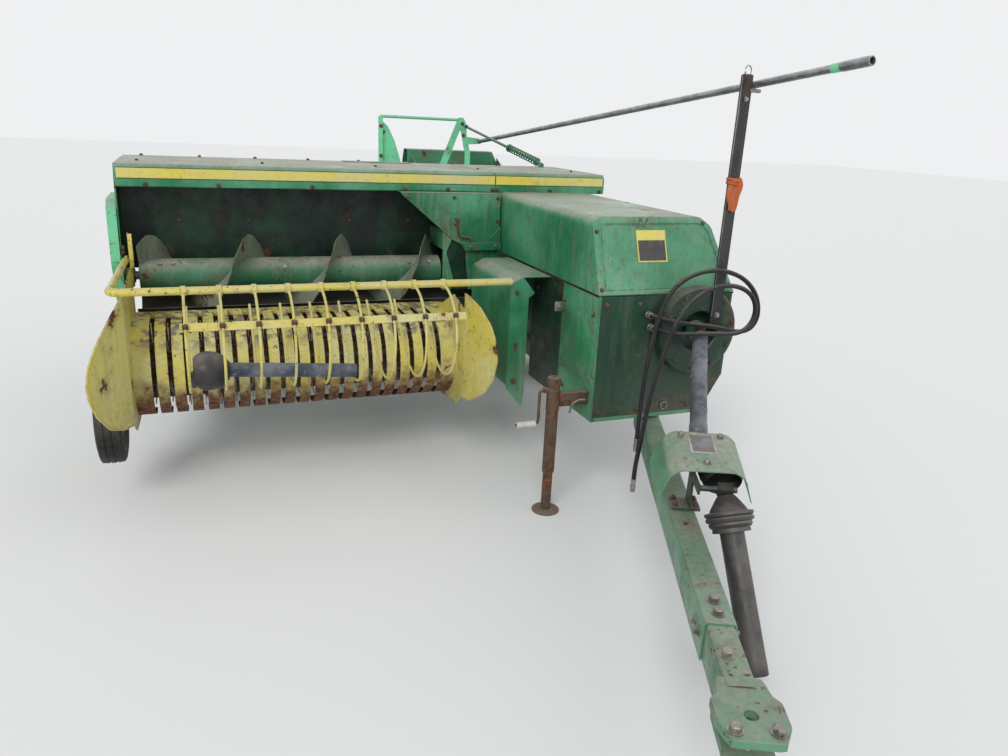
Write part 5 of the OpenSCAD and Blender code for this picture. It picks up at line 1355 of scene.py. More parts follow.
class BALER_OT_tongue(bpy.types.Operator):
    """Tongue channel, bolted hitch, pedestal and the saddle shield over the joint"""

    bl_idname = "baler.tongue"
    bl_label = "Tongue and hitch"

    def execute(self, context):
        half = TONGUE_WIDE / 2
        low = TONGUE_TOP - TONGUE_DEEP
        end = -TONGUE_LEN + 0.330
        bm = bmesh.new()
        inner = half - 0.005
        section = [(-half, low), (-half, TONGUE_TOP), (half, TONGUE_TOP), (half, low), (inner, low),
            (inner, TONGUE_TOP - 0.005), (-inner, TONGUE_TOP - 0.005), (-inner, low)]
        section = soften(section, [0.001, 0.011, 0.011, 0.001, 0.001, 0.006, 0.006, 0.001], closed=True,
            steps=4)
        prism(bm, section, "y", end, 0.0, 24)
        arch = [(-half + 0.002, low + 0.002), (-half + 0.002, TONGUE_TOP - 0.008),
            (-half + 0.009, TONGUE_TOP - 0.002), (half - 0.009, TONGUE_TOP - 0.002),
            (half - 0.002, TONGUE_TOP - 0.008), (half - 0.002, low + 0.002)]
        tube(bm, [(x, end + 0.003, z) for x, z in arch], 0.0018, 6)
        turned(bm, [(0.030, low), (half - 0.002, low), (half, low + 0.004), (half, TONGUE_TOP - 0.006),
            (half - 0.003, TONGUE_TOP), (0.030, TONGUE_TOP + 0.0005)], (0, 0.0, 0), (0, 0, 1), 40)
        turned(bm, [(0.0250, TONGUE_TOP - 0.001), (0.043, TONGUE_TOP), (0.044, TONGUE_TOP + 0.004),
            (0.044, 0.490), (0.042, 0.4935), (0.0248, 0.4935), (0.0248, 0.5198)], (0, 0, 0), (0, 0, 1), 32)
        dent(bm, 0.0010, 0.30, 5.0)
        finish_tongue(bm, "tongue_channel", "tongue_green", ("tongue",))
        self.hitch(low, end)
        self.pedestal()
        self.saddle()
        self.boot()
        return {"FINISHED"}

    def hitch(self, low, end):
        """Inner channel and the two bolted plates with the pin hole."""
        bm = bmesh.new()
        z0, z1 = low + 0.005, TONGUE_TOP - 0.0052
        wide = 0.0395
        section = [(-wide, z0), (-wide, z1), (wide, z1), (wide, z0), (wide - 0.008, z0),
            (wide - 0.008, z1 - 0.010), (-wide + 0.008, z1 - 0.010), (-wide + 0.008, z0)]
        section = soften(section, [0.001, 0.010, 0.010, 0.001, 0.001, 0.004, 0.004, 0.001], closed=True,
            steps=3)
        prism(bm, section, "y", -TONGUE_LEN + 0.092, end + 0.120, 8)
        hole = 0.0165
        upper = [(-0.058, 0.130), (0.058, 0.130), (0.066, 0.070), (0.084, 0.050), (0.084, -0.030),
            (0.074, -0.050), (0.060, -0.083), (-0.060, -0.083), (-0.074, -0.050), (-0.084, -0.030),
            (-0.084, 0.050), (-0.066, 0.070)]
        lower = [(-0.060, 0.130), (0.060, 0.130), (0.060, -0.040), (0.040, -0.059), (-0.040, -0.059),
            (-0.060, -0.040)]
        for z0, z1, outline in ((TONGUE_TOP - 0.030, TONGUE_TOP - 0.008, upper),
                (low + 0.008, low + 0.030, lower)):
            self.plate(bm, outline, z0, z1, hole)
        finish_tongue(bm, "hitch_plates", "tongue_green", ("hitch",))
        bm = bmesh.new()
        top = TONGUE_TOP
        for x, y, z in ((0.0, end + 0.045, top), (0.0, end + 0.105, top),
                (-0.012, -TONGUE_LEN + 0.205, top - 0.0055), (-0.048, -TONGUE_LEN - 0.052, top - 0.0082),
                (0.048, -TONGUE_LEN - 0.052, top - 0.0082)):
            bolt(bm, (x, y, z), (0, 0, 1), 0.026, 0.0, x * 20)
        for y in (end + 0.050, end + 0.100):
            bolt(bm, (-0.0452, y, top - 0.060), (-1, 0, 0), 0.022)
            bolt(bm, (0.0452, y, top - 0.060), (1, 0, 0), 0.022, 0.008)
        finish_tongue(bm, "hitch_bolts", "bolt_zinc")

    def plate(self, bm, outline, z0, z1, hole):
        """A thick plate with a round hole, its outline given about the pin's place."""
        count = 48
        rounded = densify(soften(outline, 0.010, closed=True, steps=4) + [outline[0]], 0.02)
        angles = [2 * math.pi * k / count for k in range(count)]
        outer = []
        for a in angles:
            way = Vector((math.cos(a), math.sin(a)))
            best = None
            for p, q in zip(rounded, rounded[1:] + rounded[:1]):
                p, q = Vector(p), Vector(q)
                edge = q - p
                cross = way.x * edge.y - way.y * edge.x
                if abs(cross) < 1e-9:
                    continue
                far = (p.x * edge.y - p.y * edge.x) / cross
                share = (p.x * way.y - p.y * way.x) / cross
                if far > 0 and -1e-6 <= share <= 1 + 1e-6 and (best is None or far > best):
                    best = far
            outer.append((way.x * best, way.y * best))
        ring = [(hole * math.cos(a), hole * math.sin(a)) for a in angles]
        rows = []
        drawn_in = [(x * 0.982, y * 0.982) for x, y in outer]
        widened = [(x * 1.12, y * 1.12) for x, y in ring]
        for flat, z in ((ring, z0 + 0.0012), (outer, z0 + 0.0005), (outer, z1 - 0.0018), (drawn_in, z1),
                (widened, z1), (ring, z1 - 0.0016)):
            rows.append([bm.verts.new((x, -TONGUE_LEN + y, z)) for x, y in flat])
        join_rings(bm, rows, closed=True)

    def pedestal(self):
        """Foot, web and arm that carry the saddle and the front shaft."""
        at = PEDESTAL_Y
        bm = bmesh.new()
        block(bm, (-0.040, at - 0.040, TONGUE_TOP + 0.0005), (0.060, at + 0.040, TONGUE_TOP + 0.012), 0.002)
        web = [(at - 0.036, 0.424), (at + 0.036, 0.424), (at + 0.030, 0.520), (at + 0.050, 0.655),
            (at - 0.050, 0.655), (at - 0.030, 0.520)]
        prism(bm, soften(web, [0.002, 0.002, 0.06, 0.002, 0.002, 0.06], closed=True), "x", 0.020, 0.028)
        block(bm, (-0.020, at - 0.050, 0.655), (0.110, at + 0.050, 0.663), 0.002)
        block(bm, (0.020, -1.216, 0.522), (0.028, at + 0.010, 0.558), 0.002)
        turned(bm, [(0.0085, 0.027), (0.0100, 0.029), (0.0100, 0.148), (0.0085, 0.150)], (0, -1.200, 0.540),
            (1, 0, 0), 20)
        self.lean(bm, 0.60)
        # Near black: painted shade under the saddle over dark green.
        finish_tongue(bm, "pedestal_foot", "mouth_green_and_shade", ("pedestal",))
        bm = bmesh.new()
        for x in (-0.025, 0.046):
            for y in (at - 0.024, at + 0.024):
                bolt(bm, (x, y, TONGUE_TOP + 0.012), (0, 0, 1), 0.017, 0.006)
        finish_tongue(bm, "pedestal_bolts", "bolt_rusty")

    def boot(self):
        """Black boot over the joint below the saddle, wider than it is high."""
        bm = bmesh.new()
        start = Vector((0.085, -1.060, 0.563))
        way = Vector((0.020, -0.105, -0.018)).normalized()
        line = [(0.020, 0.000), (0.036, 0.002), (0.042, 0.012), (0.038, 0.020), (0.046, 0.032),
            (0.043, 0.042), (0.049, 0.054), (0.046, 0.064), (0.050, 0.078), (0.050, 0.098), (0.046, 0.102),
            (0.044, 0.070), (0.020, 0.060)]
        turned(bm, line, start, way, 40)
        for v in bm.verts:
            v.co.x = 0.103 + (v.co.x - 0.095) * 1.32
        finish_tongue(bm, "saddle_boot", "seal_black")

    def lean(self, bm, above):
        """Lowers the saddle, and the pedestal's top below it, towards the hitch."""
        for v in bm.verts:
            if v.co.z > above:
                v.co.z -= SADDLE_LEAN * (SADDLE_REAR - v.co.y)

    def place(self, bm, name, slot, material, replaces=()):
        """Leans a part of the saddle, carries it to its place and finishes it."""
        self.lean(bm, 0.0)
        finish_tongue(bm, name, material, replaces)

    def saddle(self):
        """Shield over the joint, with its blank plate."""
        at = PEDESTAL_Y
        y0, y1 = at - 0.150, SADDLE_REAR
        line = [(-0.116, 0.5480), (-0.0785, 0.640), (-0.045, 0.6645), (0.135, 0.6645), (0.1675, 0.640),
            (0.194, 0.5650)]
        skin = folded(line, 0.003, [0, 0.050, 0.045, 0.045, 0.050, 0], longest=0.025, steps=7)
        bm = bmesh.new()
        prism(bm, skin, "y", y0, y1, 12)
        for y in (y0 + 0.002, y1 - 0.002):
            edge = soften(line, [0, 0.050, 0.045, 0.045, 0.050, 0], steps=7)
            tube(bm, [(x, y, z) for x, z in edge[1:-1]], 0.0022, 8)
        dent(bm, 0.0018, 0.16, 2.0)
        self.place(bm, "saddle_shield", "green_paint", "shield_green", ("bell_shield",))
        bm = bmesh.new()
        block(bm, (0.000, at - 0.055, 0.6657), (0.088, at + 0.050, 0.6664), 0.0003)
        self.place(bm, "saddle_plate", "black_paint", "plate_pale")
        bm = bmesh.new()
        block(bm, (0.007, at - 0.048, 0.6664), (0.081, at + 0.043, 0.6669), 0.0002)
        self.place(bm, "saddle_plate_face", "black_paint", "plate_blue")
        bm = bmesh.new()
        for x, y in ((-0.022, at + 0.040), (0.112, at + 0.038), (0.045, at - 0.105)):
            bolt(bm, (x, y, 0.6655), (0, 0, 1), 0.017)
        self.place(bm, "saddle_bolts", "bare_steel", "bolt_zinc")


class BALER_OT_shafts(bpy.types.Operator):
    """Rear and middle drive shaft guards with their cones, rings and clamp"""

    bl_idname = "baler.shafts"
    bl_label = "Drive shafts"

    def execute(self, context):
        start = Vector((DRIVE_X, -0.905, DRIVE_Z))
        end = Vector((0.636, -1.520, 0.585))
        far = (end - start).length
        way = (end - start).normalized()
        bm = bmesh.new()
        a, b = 0.06 * far, 0.97 * far
        profile = [(0.0200, a), (0.0315, a), (0.0340, a + 0.004), (0.0340, a + 0.020), (0.0318, a + 0.024),
            (0.0318, b - 0.100), (0.0340, b - 0.096), (0.0340, b - 0.010), (0.0325, b), (0.0200, b)]
        turned(bm, densify(profile, 0.06), start, way, 36)
        for share in (0.28, 0.50, 0.72):
            turned_ring(bm, [(0.0312, share * far - 0.004), (0.0332, share * far - 0.002),
                (0.0332, share * far + 0.002), (0.0312, share * far + 0.004)], start, way, 36)
        finish_piece(bm, "rear_shaft_guard", "pto_rear", "shaft_blue", ("pto_rear",))
        bm = bmesh.new()
        turned(bm, [(0.012, 0.0), (0.0195, 0.002), (0.0195, far - 0.002), (0.012, far)], start, way, 24)
        turned(bm, [(0.012, -0.030), (0.0215, -0.028), (0.0215, 0.028), (0.012, 0.030)], start, (0, 0, 1),
            24)
        side = axes_across(way)[0]
        turned_ring(bm, [(0.0195, 0.048), (0.0285, 0.046), (0.0285, 0.030), (0.0195, 0.028)], start, way, 28)
        for s in (-1, 1):
            at = start + way * 0.002 + side * 0.0165 * s
            turned(bm, [(0.004, 0.0), (0.0085, 0.002), (0.0085, 0.036), (0.004, 0.038)], at, way, 14)
        finish_piece(bm, "rear_shaft_joint", "pto_rear", "cast_iron")
        bm = bmesh.new()
        knob = start + way * (0.44 * far) + side * 0.0318
        turned(bm, [(0.0050, -0.002), (0.0090, 0.0), (0.0090, 0.0016), (0.0060, 0.0021)], knob, side, 16)
        finish_piece(bm, "rear_shaft_knob", "pto_rear", "bolt_zinc")
        self.middle()
        return {"FINISHED"}

    def middle(self):
        """Front shaft on its pedestal."""
        start = Vector((0.110, -1.200, 0.540))
        end = Vector((0.214, -1.485, 0.042))
        far = (end - start).length
        way = (end - start).normalized()
        bm = bmesh.new()
        a, b = 0.12 * far, 0.24 * far
        cone = [(0.022, a), (0.060, a), (0.0795, a + 0.004), (0.0795, a + 0.012), (0.0740, a + 0.018),
            (0.0790, a + 0.024), (0.0770, a + 0.032), (0.0690, a + 0.036), (0.0710, a + 0.044),
            (0.0660, a + 0.052), (0.0610, a + 0.055), (0.0620, b - 0.002), (0.0400, b)]
        line = cone + [(0.0395, b + 0.004), (0.0395, far - 0.050), (0.0400, far - 0.046),
            (0.0400, far - 0.004), (0.0385, far), (0.0340, far), (0.0335, far - 0.040), (0.020, far - 0.041)]
        turned(bm, densify(line, 0.06), start, way, 40)
        swing_to_tongue(bm)
        finish_piece(bm, "middle_shaft_guard", "pto_middle", "shaft_black", ("pto_middle",))
        bm = bmesh.new()
        turned_ring(bm, [(0.0102, -0.024), (0.0225, -0.024), (0.0240, -0.021), (0.0240, 0.021),
            (0.0225, 0.024), (0.0102, 0.024)], start, (1, 0, 0), 28)
        turned(bm, [(0.010, 0.016), (0.026, 0.018), (0.036, 0.030), (0.047, 0.046), (0.058, 0.062),
            (0.062, a + 0.002), (0.010, a + 0.004)], start, way, 32)
        swing_to_tongue(bm)
        finish_piece(bm, "middle_shaft_hub", "pto_middle", "seal_black")


class BALER_OT_jack(bpy.types.Operator):
    """Parking jack: welded tube, leg, foot, crank with its grip"""

    bl_idname = "baler.jack"
    bl_label = "Jack"

    def execute(self, context):
        at = (JACK_X, JACK_Y, 0.0)
        bm = bmesh.new()
        profile = [(0.0232, 0.190), (0.0262, 0.190), (0.0270, 0.193), (0.0270, 0.600), (0.0310, 0.6005),
            (0.0310, 0.622), (0.0290, 0.630), (0.0220, 0.632), (0.006, 0.632), (0.006, 0.604),
            (0.0228, 0.600)]
        turned_ring(bm, profile, at, (0, 0, 1), 36)
        block(bm, (JACK_X + 0.0246, JACK_Y - 0.0198, 0.5005), (SHIELD_X0 - 0.0004, JACK_Y + 0.0198, 0.5595),
            0.003)
        turned(bm, [(0.007, -0.048), (0.0118, -0.046), (0.0118, -0.0242), (0.007, -0.0240)],
            (JACK_X, JACK_Y, 0.575), (1, 0, 0), 20)
        turned_ring(bm, [(0.0268, 0.480), (0.0290, 0.483), (0.0290, 0.577), (0.0268, 0.580)], at, (0, 0, 1),
            36)
        finish_piece(bm, "jack_outer", "chassis", "jack_rust", ("jack_tube",))
        bm = bmesh.new()
        path = soften([(0.552, 0.526), (0.520, 0.526), (0.490, 0.510), (0.480, 0.470)], 0.03, steps=4)
        tube(bm, [(x, JACK_Y - 0.024, z) for x, z in path], 0.005, 10)
        finish_piece(bm, "jack_pin", "chassis", "frame_green")
        bm = bmesh.new()
        leg = [(0.0200, 0.0125), (0.0218, 0.014), (0.0218, 0.455), (0.0200, 0.458)]
        turned(bm, densify(leg, 0.05), at, (0, 0, 1), 28)
        foot = [(0.020, 0.0115), (0.0350, 0.0118), (0.0480, 0.0100), (0.0600, 0.0070), (0.0618, 0.0050),
            (0.0618, 0.0005), (0.0580, 0.0), (0.010, 0.0)]
        turned(bm, foot, at, (0, 0, 1), 40)
        finish_piece(bm, "jack_inner", "jack_leg", "jack_rust", ("jack_leg",))
        bm = bmesh.new()
        x = JACK_X - 0.064
        arm = [(JACK_X - 0.0486, 0.575), (x + 0.012, 0.575), (x + 0.003, 0.570), (x, 0.560), (x, 0.440),
            (x - 0.003, 0.430), (x - 0.012, 0.4265), (x - 0.104, 0.4265)]
        tube(bm, [(px, JACK_Y, pz) for px, pz in arm], 0.0066, 12)
        finish_piece(bm, "jack_handle", "jack_crank", "bolt_rusty", ("jack_crank",))
        bm = bmesh.new()
        grip = [(0.0070, -0.165), (0.0125, -0.164), (0.0138, -0.158), (0.0128, -0.140), (0.0132, -0.110),
            (0.0138, -0.084), (0.0120, -0.077), (0.0070, -0.0765)]
        turned(bm, grip, (JACK_X, JACK_Y, 0.4265), (1, 0, 0), 24)
        finish_piece(bm, "jack_grip", "jack_crank", "grip_white")
        return {"FINISHED"}


class BALER_OT_post(bpy.types.Operator):
    """Flat post with its ring, pin and rag, and the long control pipe on it"""

    bl_idname = "baler.post"
    bl_label = "Post and control pipe"

    def execute(self, context):
        bm = bmesh.new()
        outline = soften([(POST_X - 0.026, 0.8505), (POST_X - 0.026, 1.878), (POST_X - 0.020, 1.8838),
            (POST_X + 0.020, 1.8838), (POST_X + 0.026, 1.878), (POST_X + 0.026, 0.8505)],
            [0.002, 0.006, 0.004, 0.004, 0.006, 0.002], closed=True, steps=3)
        prism(bm, outline, "y", POST_Y - 0.0049, POST_Y + 0.0049)
        finish_piece(bm, "post_flat", "chassis", "post_black", ("post",))
        bm = bmesh.new()
        block(bm, (POST_X - 0.0262, POST_Y - 0.0052, 0.900), (POST_X - 0.0235, POST_Y - 0.0030, 1.874),
            0.0008)
        turned(bm, [(0.0060, 0.020), (0.0078, 0.024), (0.0078, 0.070), (0.0060, 0.072)],
            (POST_X, POST_Y, 1.8242), (1, 0, 0), 16)
        loop = []
        for k in range(25):
            a = math.radians(-78 + 336 * k / 24)
            loop.append((POST_X + 0.001 + 0.0215 * math.sin(a) * 0.94, POST_Y + 0.0215 * math.sin(a) * 0.34,
                1.8965 - 0.0195 * math.cos(a)))
        tube(bm, loop, 0.0024, 8)
        bolt(bm, (POST_X + 0.004, POST_Y - 0.0049, 1.790), (0, -1, 0), 0.014)
        bolt(bm, (POST_X + 0.002, POST_Y - 0.0049, 0.905), (0, -1, 0), 0.017)
        finish_piece(bm, "post_fittings", "chassis", "worn_steel")
        self.pipe()
        self.rag()
        return {"FINISHED"}

    def pipe(self):
        """Long control pipe from the post to the arm."""
        rear = Vector((1.003, 1.9578, 1.5234))
        front = Vector((1.175, -1.466, 1.911))
        far = (front - rear).length
        way = (front - rear).normalized()
        bm = bmesh.new()
        grip = far * 0.962
        profile = densify([(0.0115, 0.0), (0.0148, 0.001), (0.0148, grip)], 0.10)
        profile += [(0.0170, grip + 0.003), (0.0180, grip + 0.012), (0.0180, far - 0.030),
            (0.0172, far - 0.002), (0.0130, far - 0.001), (0.0130, far - 0.060), (0.0040, far - 0.062)]
        turned(bm, profile, rear, way, 28)
        finish_piece(bm, "control_pipe", "chassis", "pipe_zinc", ("control_rod",))
        bm = bmesh.new()
        turned_ring(bm, [(0.0150, grip - 0.040), (0.0166, grip - 0.038), (0.0166, grip - 0.002),
            (0.0150, grip)], rear, way, 28)
        finish_piece(bm, "control_ring", "chassis", "pale_green")

    def rag(self):
        """An orange strip of cloth tied round the post, its tail hanging in folds."""
        bm = bmesh.new()
        rows = []
        count = 26
        for i in range(count + 1):
            share = i / count
            z = 1.484 - 0.134 * share
            wide = 0.0315 + 0.006 * math.sin(share * 5.0) - 0.006 * share
            row = []
            for k in range(15):
                across = k / 14
                x = POST_X + (across - 0.5) * 2 * wide + 0.004 * math.sin(share * 9)
                fold = 0.0038 * math.sin(across * 15 + share * 3) + 0.0030 * math.sin(across * 7 - share * 6)
                row.append(bm.verts.new((x, POST_Y - 0.0150 + fold,
                    z + 0.006 * math.sin(across * 8) * share)))
            rows.append(row)
        for a, b in zip(rows, rows[1:]):
            for k in range(14):
                bm.faces.new((a[k], a[k + 1], b[k + 1], b[k]))
        cloth = finish_piece(bm, "post_rag", "chassis", "rag_orange", angle=60.0)
        thick = cloth.modifiers.new("cloth", "SOLIDIFY")
        thick.thickness = 0.0011
        bm = bmesh.new()
        for z, tilt in ((1.478, 0.004), (1.470, -0.004), (1.462, 0.003)):
            ring = soften([(POST_X - 0.0290, POST_Y - 0.0175), (POST_X + 0.0290, POST_Y - 0.0175),
                (POST_X + 0.0290, POST_Y + 0.0085), (POST_X - 0.0290, POST_Y + 0.0085)], 0.006, closed=True,
                steps=3)
            path = [(x, y, z + tilt * math.sin(k)) for k, (x, y) in enumerate(ring)]
            tube(bm, path + path[:1], 0.0042, 8)
        knot = finish_piece(bm, "post_rag_knot", "chassis", "rag_orange")


class BALER_OT_wheels(bpy.types.Operator):
    """Ribbed road tyres and the gauge tyre, with dished rims, lug bolts and valves"""

    bl_idname = "baler.wheels"
    bl_label = "Wheels"

    def execute(self, context):
        deep = context.scene.baler_parts.tread
        for name, body, x, y, z, r, w, rim, ribs in (("left", "left_wheel", LEFT_X, AXLE_Y, LEFT_R, LEFT_R,
                0.240, 0.195, 5), ("right", "right_wheel", RIGHT_X, AXLE_Y, RIGHT_R, RIGHT_R, 0.190, 0.195,
                4), ("gauge", "gauge_wheel", GAUGE_X, GAUGE_Y, GAUGE_Z, GAUGE_R, 0.104, 0.100, 3)):
            depth = deep if name != "gauge" else deep * 0.45
            bm = bmesh.new()
            turned_ring(bm, self.profile(r, w, rim, ribs, depth), (x, y, z), (1, 0, 0), 84)
            finish_piece(bm, name + "_wheel_tread", body, "tyre_rubber", (name + "_tyre",), 40.0)
        coat("rim_yellow", "left_rim", "right_rim")
        coat("worn_steel", "gauge_rim")
        for name, body, x, z, side in (("left", "left_wheel", LEFT_X, LEFT_R, 1),
                ("right", "right_wheel", RIGHT_X, RIGHT_R, -1)):
            bm = bmesh.new()
            for way in (1, -1):
                for k in range(5):
                    a = 2 * math.pi * k / 5 + 0.3
                    at = about(x + 0.020 * way + side * 0.018, AXLE_Y, z, 0.092, a)
                    bolt(bm, at, (way, 0, 0), 0.021, 0.008, a)
                cap = [(0.020, 0.0585), (0.050, 0.0590), (0.055, 0.0560), (0.058, 0.0480), (0.061, 0.0300)]
                turned(bm, cap[::-1], (x, AXLE_Y, z), (way, 0, 0), 28, ends=False)
            tube(bm, [(x + 0.030, AXLE_Y + 0.178, z), (x + 0.055, AXLE_Y + 0.172, z)], 0.0045, 8)
            finish_piece(bm, name + "_wheel_bolts", body, "bolt_rusty")
        bm = bmesh.new()
        for k in range(4):
            a = 2 * math.pi * k / 4 + 0.5
            bolt(bm, about(GAUGE_X - 0.033, GAUGE_Y, GAUGE_Z, 0.066, a), (-1, 0, 0), 0.015)
        finish_piece(bm, "gauge_wheel_bolts", "gauge_wheel", "bolt_rusty")
        return {"FINISHED"}

    def profile(self, r, w, rim, ribs, deep):
        """Closed (radius, along) outline of a tyre with grooves between its ribs."""
        wall = [(rim + 0.0005, -0.355 * w), (rim + 0.010, -0.372 * w), (rim + 0.022, -0.400 * w),
            (rim + 0.45 * (r - rim), -0.485 * w), (rim + 0.66 * (r - rim), -0.499 * w),
            (r - 0.030, -0.492 * w), (r - 0.012, -0.455 * w), (r - 0.003, -0.400 * w)]
        tread = []
        span = 0.76 * w
        step = span / ribs
        groove = step * 0.20
        crown = 0.0030

        def lift(p):
            return r - crown * (2 * p / span) ** 2 - 0.0001

        for k in range(ribs):
            a = -span / 2 + step * k
            left = a + (groove if k else 0.0)
            right = a + step - (groove if k < ribs - 1 else 0.0)
            if k:
                tread += [(lift(left) - deep, left - groove * 0.6), (lift(left), left)]
            else:
                tread.append((lift(left), left))
            tread.append((lift((left + right) / 2), (left + right) / 2))
            tread.append((lift(right), right))
            if k < ribs - 1:
                tread.append((lift(right) - deep, right + groove * 0.6))
        other = [(a, -b) for a, b in reversed(wall)]
        inner = [(rim + 0.0005, 0.18 * w), (rim + 0.0005, -0.18 * w)]
        return wall + tread + other + inner


class BALER_OT_rear(bpy.types.Operator):
    """Arm with its spring, density springs, knotters, twine box and chamber with their fittings"""

    bl_idname = "baler.rear"
    bl_label = "Rear parts"

    def execute(self, context):
        coat("frame_green", "main_frame", "bale_chamber", "knotter_stack", "flywheel", "spring_rod")
        coat("shield_green", "twine_box", "twine_lid")
        coat("pale_green", "rear_arm")
        coat("worn_steel", "star_wheel", "needle_yoke")
        self.arm()
        self.density()
        self.knotters()
        self.twine()
        self.chamber()
        return {"FINISHED"}

    def arm(self):
        """Coil on the spring rod, and the bolts of the arm and its plates."""
        top = Vector((0.892, 1.950, 1.622))
        foot = Vector((1.120, 1.080, 1.418))
        way = (foot - top).normalized()
        a = foot - way * 0.365
        b = foot - way * 0.055
        bm = bmesh.new()
        coil(bm, a + way * 0.0042, b - way * 0.0042, 0.0206, 0.0042, 11, 10, 22)
        finish_piece(bm, "arm_coil", "chassis", "frame_green", ("arm_spring",))
        bm = bmesh.new()
        for x, z in ((0.870, 1.640), (0.880, 1.560), (0.760, 1.300), (0.915, 1.300), (0.915, 1.230),
                (0.700, 1.215)):
            bolt(bm, (x, ARM_Y, z), (0, -1, 0), 0.017, 0.006)
        for z in (1.100, 1.400, 1.600):
            bolt(bm, (0.276, ARM_Y, z), (0, -1, 0), 0.017)
        for x, z in ((0.300, 1.240), (0.390, 1.240), (0.300, 1.560)):
            bolt(bm, (x, 1.984, z), (0, -1, 0), 0.014)
        bolt(bm, (0.892, 1.928, 1.622), (0, -1, 0), 0.016)
        finish_piece(bm, "arm_bolts", "chassis", "bolt_rusty")

    def density(self):
        """Rails, springs and cranks over the rear of the chamber."""
        x0, x1 = CHAMBER_X - CHAMBER_W / 2, CHAMBER_X + CHAMBER_W / 2
        roof = CHAMBER_FLOOR + CHAMBER_H
        bm = bmesh.new()
        for x in (x0 + 0.030, x1 - 0.090):
            rail = [(x, roof - 0.0385), (x, roof - 0.0435), (x + 0.060, roof - 0.0435),
                (x + 0.060, roof - 0.0385)]
            prism(bm, rail, "y", 2.111, 2.649, 12)
            line = densify([(0.0085, roof - 0.0385), (0.0098, roof - 0.036), (0.0098, 1.328),
                (0.0080, 1.330)], 0.05)
            turned(bm, line, (x + 0.030, DENSITY_Y, 0), (0, 0, 1), 18)
            for z in (1.1755, 1.2960):
                turned_ring(bm, [(0.0098, z), (0.0235, z), (0.0235, z + 0.004), (0.0098, z + 0.004)],
                    (x + 0.030, DENSITY_Y, 0), (0, 0, 1), 24)
        bar = soften([(2.5205, 1.1305), (2.5205, 1.1695), (2.5795, 1.1695), (2.5795, 1.1305)], 0.006,
            closed=True)
        prism(bm, bar, "x", x0 - 0.0598, x1 + 0.0598, 6)
        for x in (x0 - 0.0598, x1 + 0.0402):
            leg = [(2.5205, roof + 0.0305), (2.5205, 1.1300), (2.5795, 1.1300), (2.5795, roof + 0.0305)]
            prism(bm, leg, "x", x, x + 0.0196, 1)
        finish_piece(bm, "density_frame", "chassis", "frame_green", ("density_rails",))
        bm = bmesh.new()
        for x in (x0 + 0.060, x1 - 0.060):
            coil(bm, (x, DENSITY_Y, 1.183), (x, DENSITY_Y, 1.293), 0.0190, 0.0042, 6.5, 8, 20)
        finish_piece(bm, "density_springs", "chassis", "pickup_yellow")
        bm = bmesh.new()
        for x in (x0 + 0.060, x1 - 0.060):
            bolt(bm, (x, DENSITY_Y, 1.3005), (0, 0, 1), 0.026)
            crank = [(x, DENSITY_Y, 1.326), (x + 0.018, 2.556, 1.3275), (x + 0.070, 2.560, 1.3275),
                (x + 0.078, 2.560, 1.320), (x + 0.078, 2.560, 1.262)]
            tube(bm, crank, 0.0048, 10)
        finish_piece(bm, "density_cranks", "chassis", "bolt_zinc")

    def knotters(self):
        """Discs with their bodies, and the bolts of the cover."""
        base = CHAMBER_FLOOR + CHAMBER_H + 0.030
        bm = bmesh.new()
        for x in (CHAMBER_X - 0.115, CHAMBER_X + 0.115):
            at = (x + 0.045, 1.700, base + 0.100)
            disc = [(0.0245, -0.020), (0.060, -0.018), (0.0880, -0.016), (0.0900, -0.010), (0.0900, 0.006),
                (0.0700, 0.010), (0.0600, 0.020), (0.0245, 0.022)]
            turned_ring(bm, disc, at, (1, 0, 0), 48)
            for k in range(14):
                a = 2 * math.pi * (k * 0.45) / 14
                tooth = Vector(at) + Vector((0.012, 0.0885 * math.cos(a), 0.0885 * math.sin(a)))
                block(bm, tooth - Vector((0.004, 0.004, 0.004)), tooth + Vector((0.004, 0.004, 0.004)),
                    0.001)
            body = soften([(1.600, base + 0.030), (1.560, base + 0.070), (1.575, base + 0.110),
                (1.640, base + 0.120), (1.676, base + 0.100), (1.676, base + 0.060)], 0.015, closed=True)
            prism(bm, body, "x", x + 0.012, x + 0.024)
            tube(bm, [(x + 0.018, 1.590, base + 0.080), (x + 0.018, 1.560, base + 0.050),
                (x + 0.017, 1.552, base + 0.010), (x + 0.020, 1.560, base - 0.010)], 0.006, 10)
            turned(bm, [(0.010, -0.012), (0.036, -0.010), (0.038, 0.0), (0.036, 0.010), (0.010, 0.012)],
                (x + 0.004, 1.628, base + 0.028), (0, 0.5, 0.86), 28)
        finish_piece(bm, "knotter_discs", "chassis", "cast_iron")
        bm = bmesh.new()
        for x in (0.600, 0.760, 0.990, 1.150, 1.220):
            for z in (base + 0.030, base + 0.150):
                bolt(bm, (x, KNOTTER_Y0, z), (0, -1, 0), 0.017, 0.006)
                bolt(bm, (x, KNOTTER_Y1, z), (0, 1, 0), 0.017, 0.004)
        for x in (0.560, CHAMBER_X + CHAMBER_W / 2 + 0.130):
            side = -1 if x < 0.8 else 1
            for y in (1.600, 1.760):
                bolt(bm, (x, y, base + 0.040), (side, 0, 0), 0.016)
        for k in range(6):
            bolt(bm, (0.580 + 0.125 * k, 2.364, 1.312), (0, 0.898, 0.44), 0.014)
        finish_piece(bm, "knotter_bolts", "chassis", "bolt_rusty")

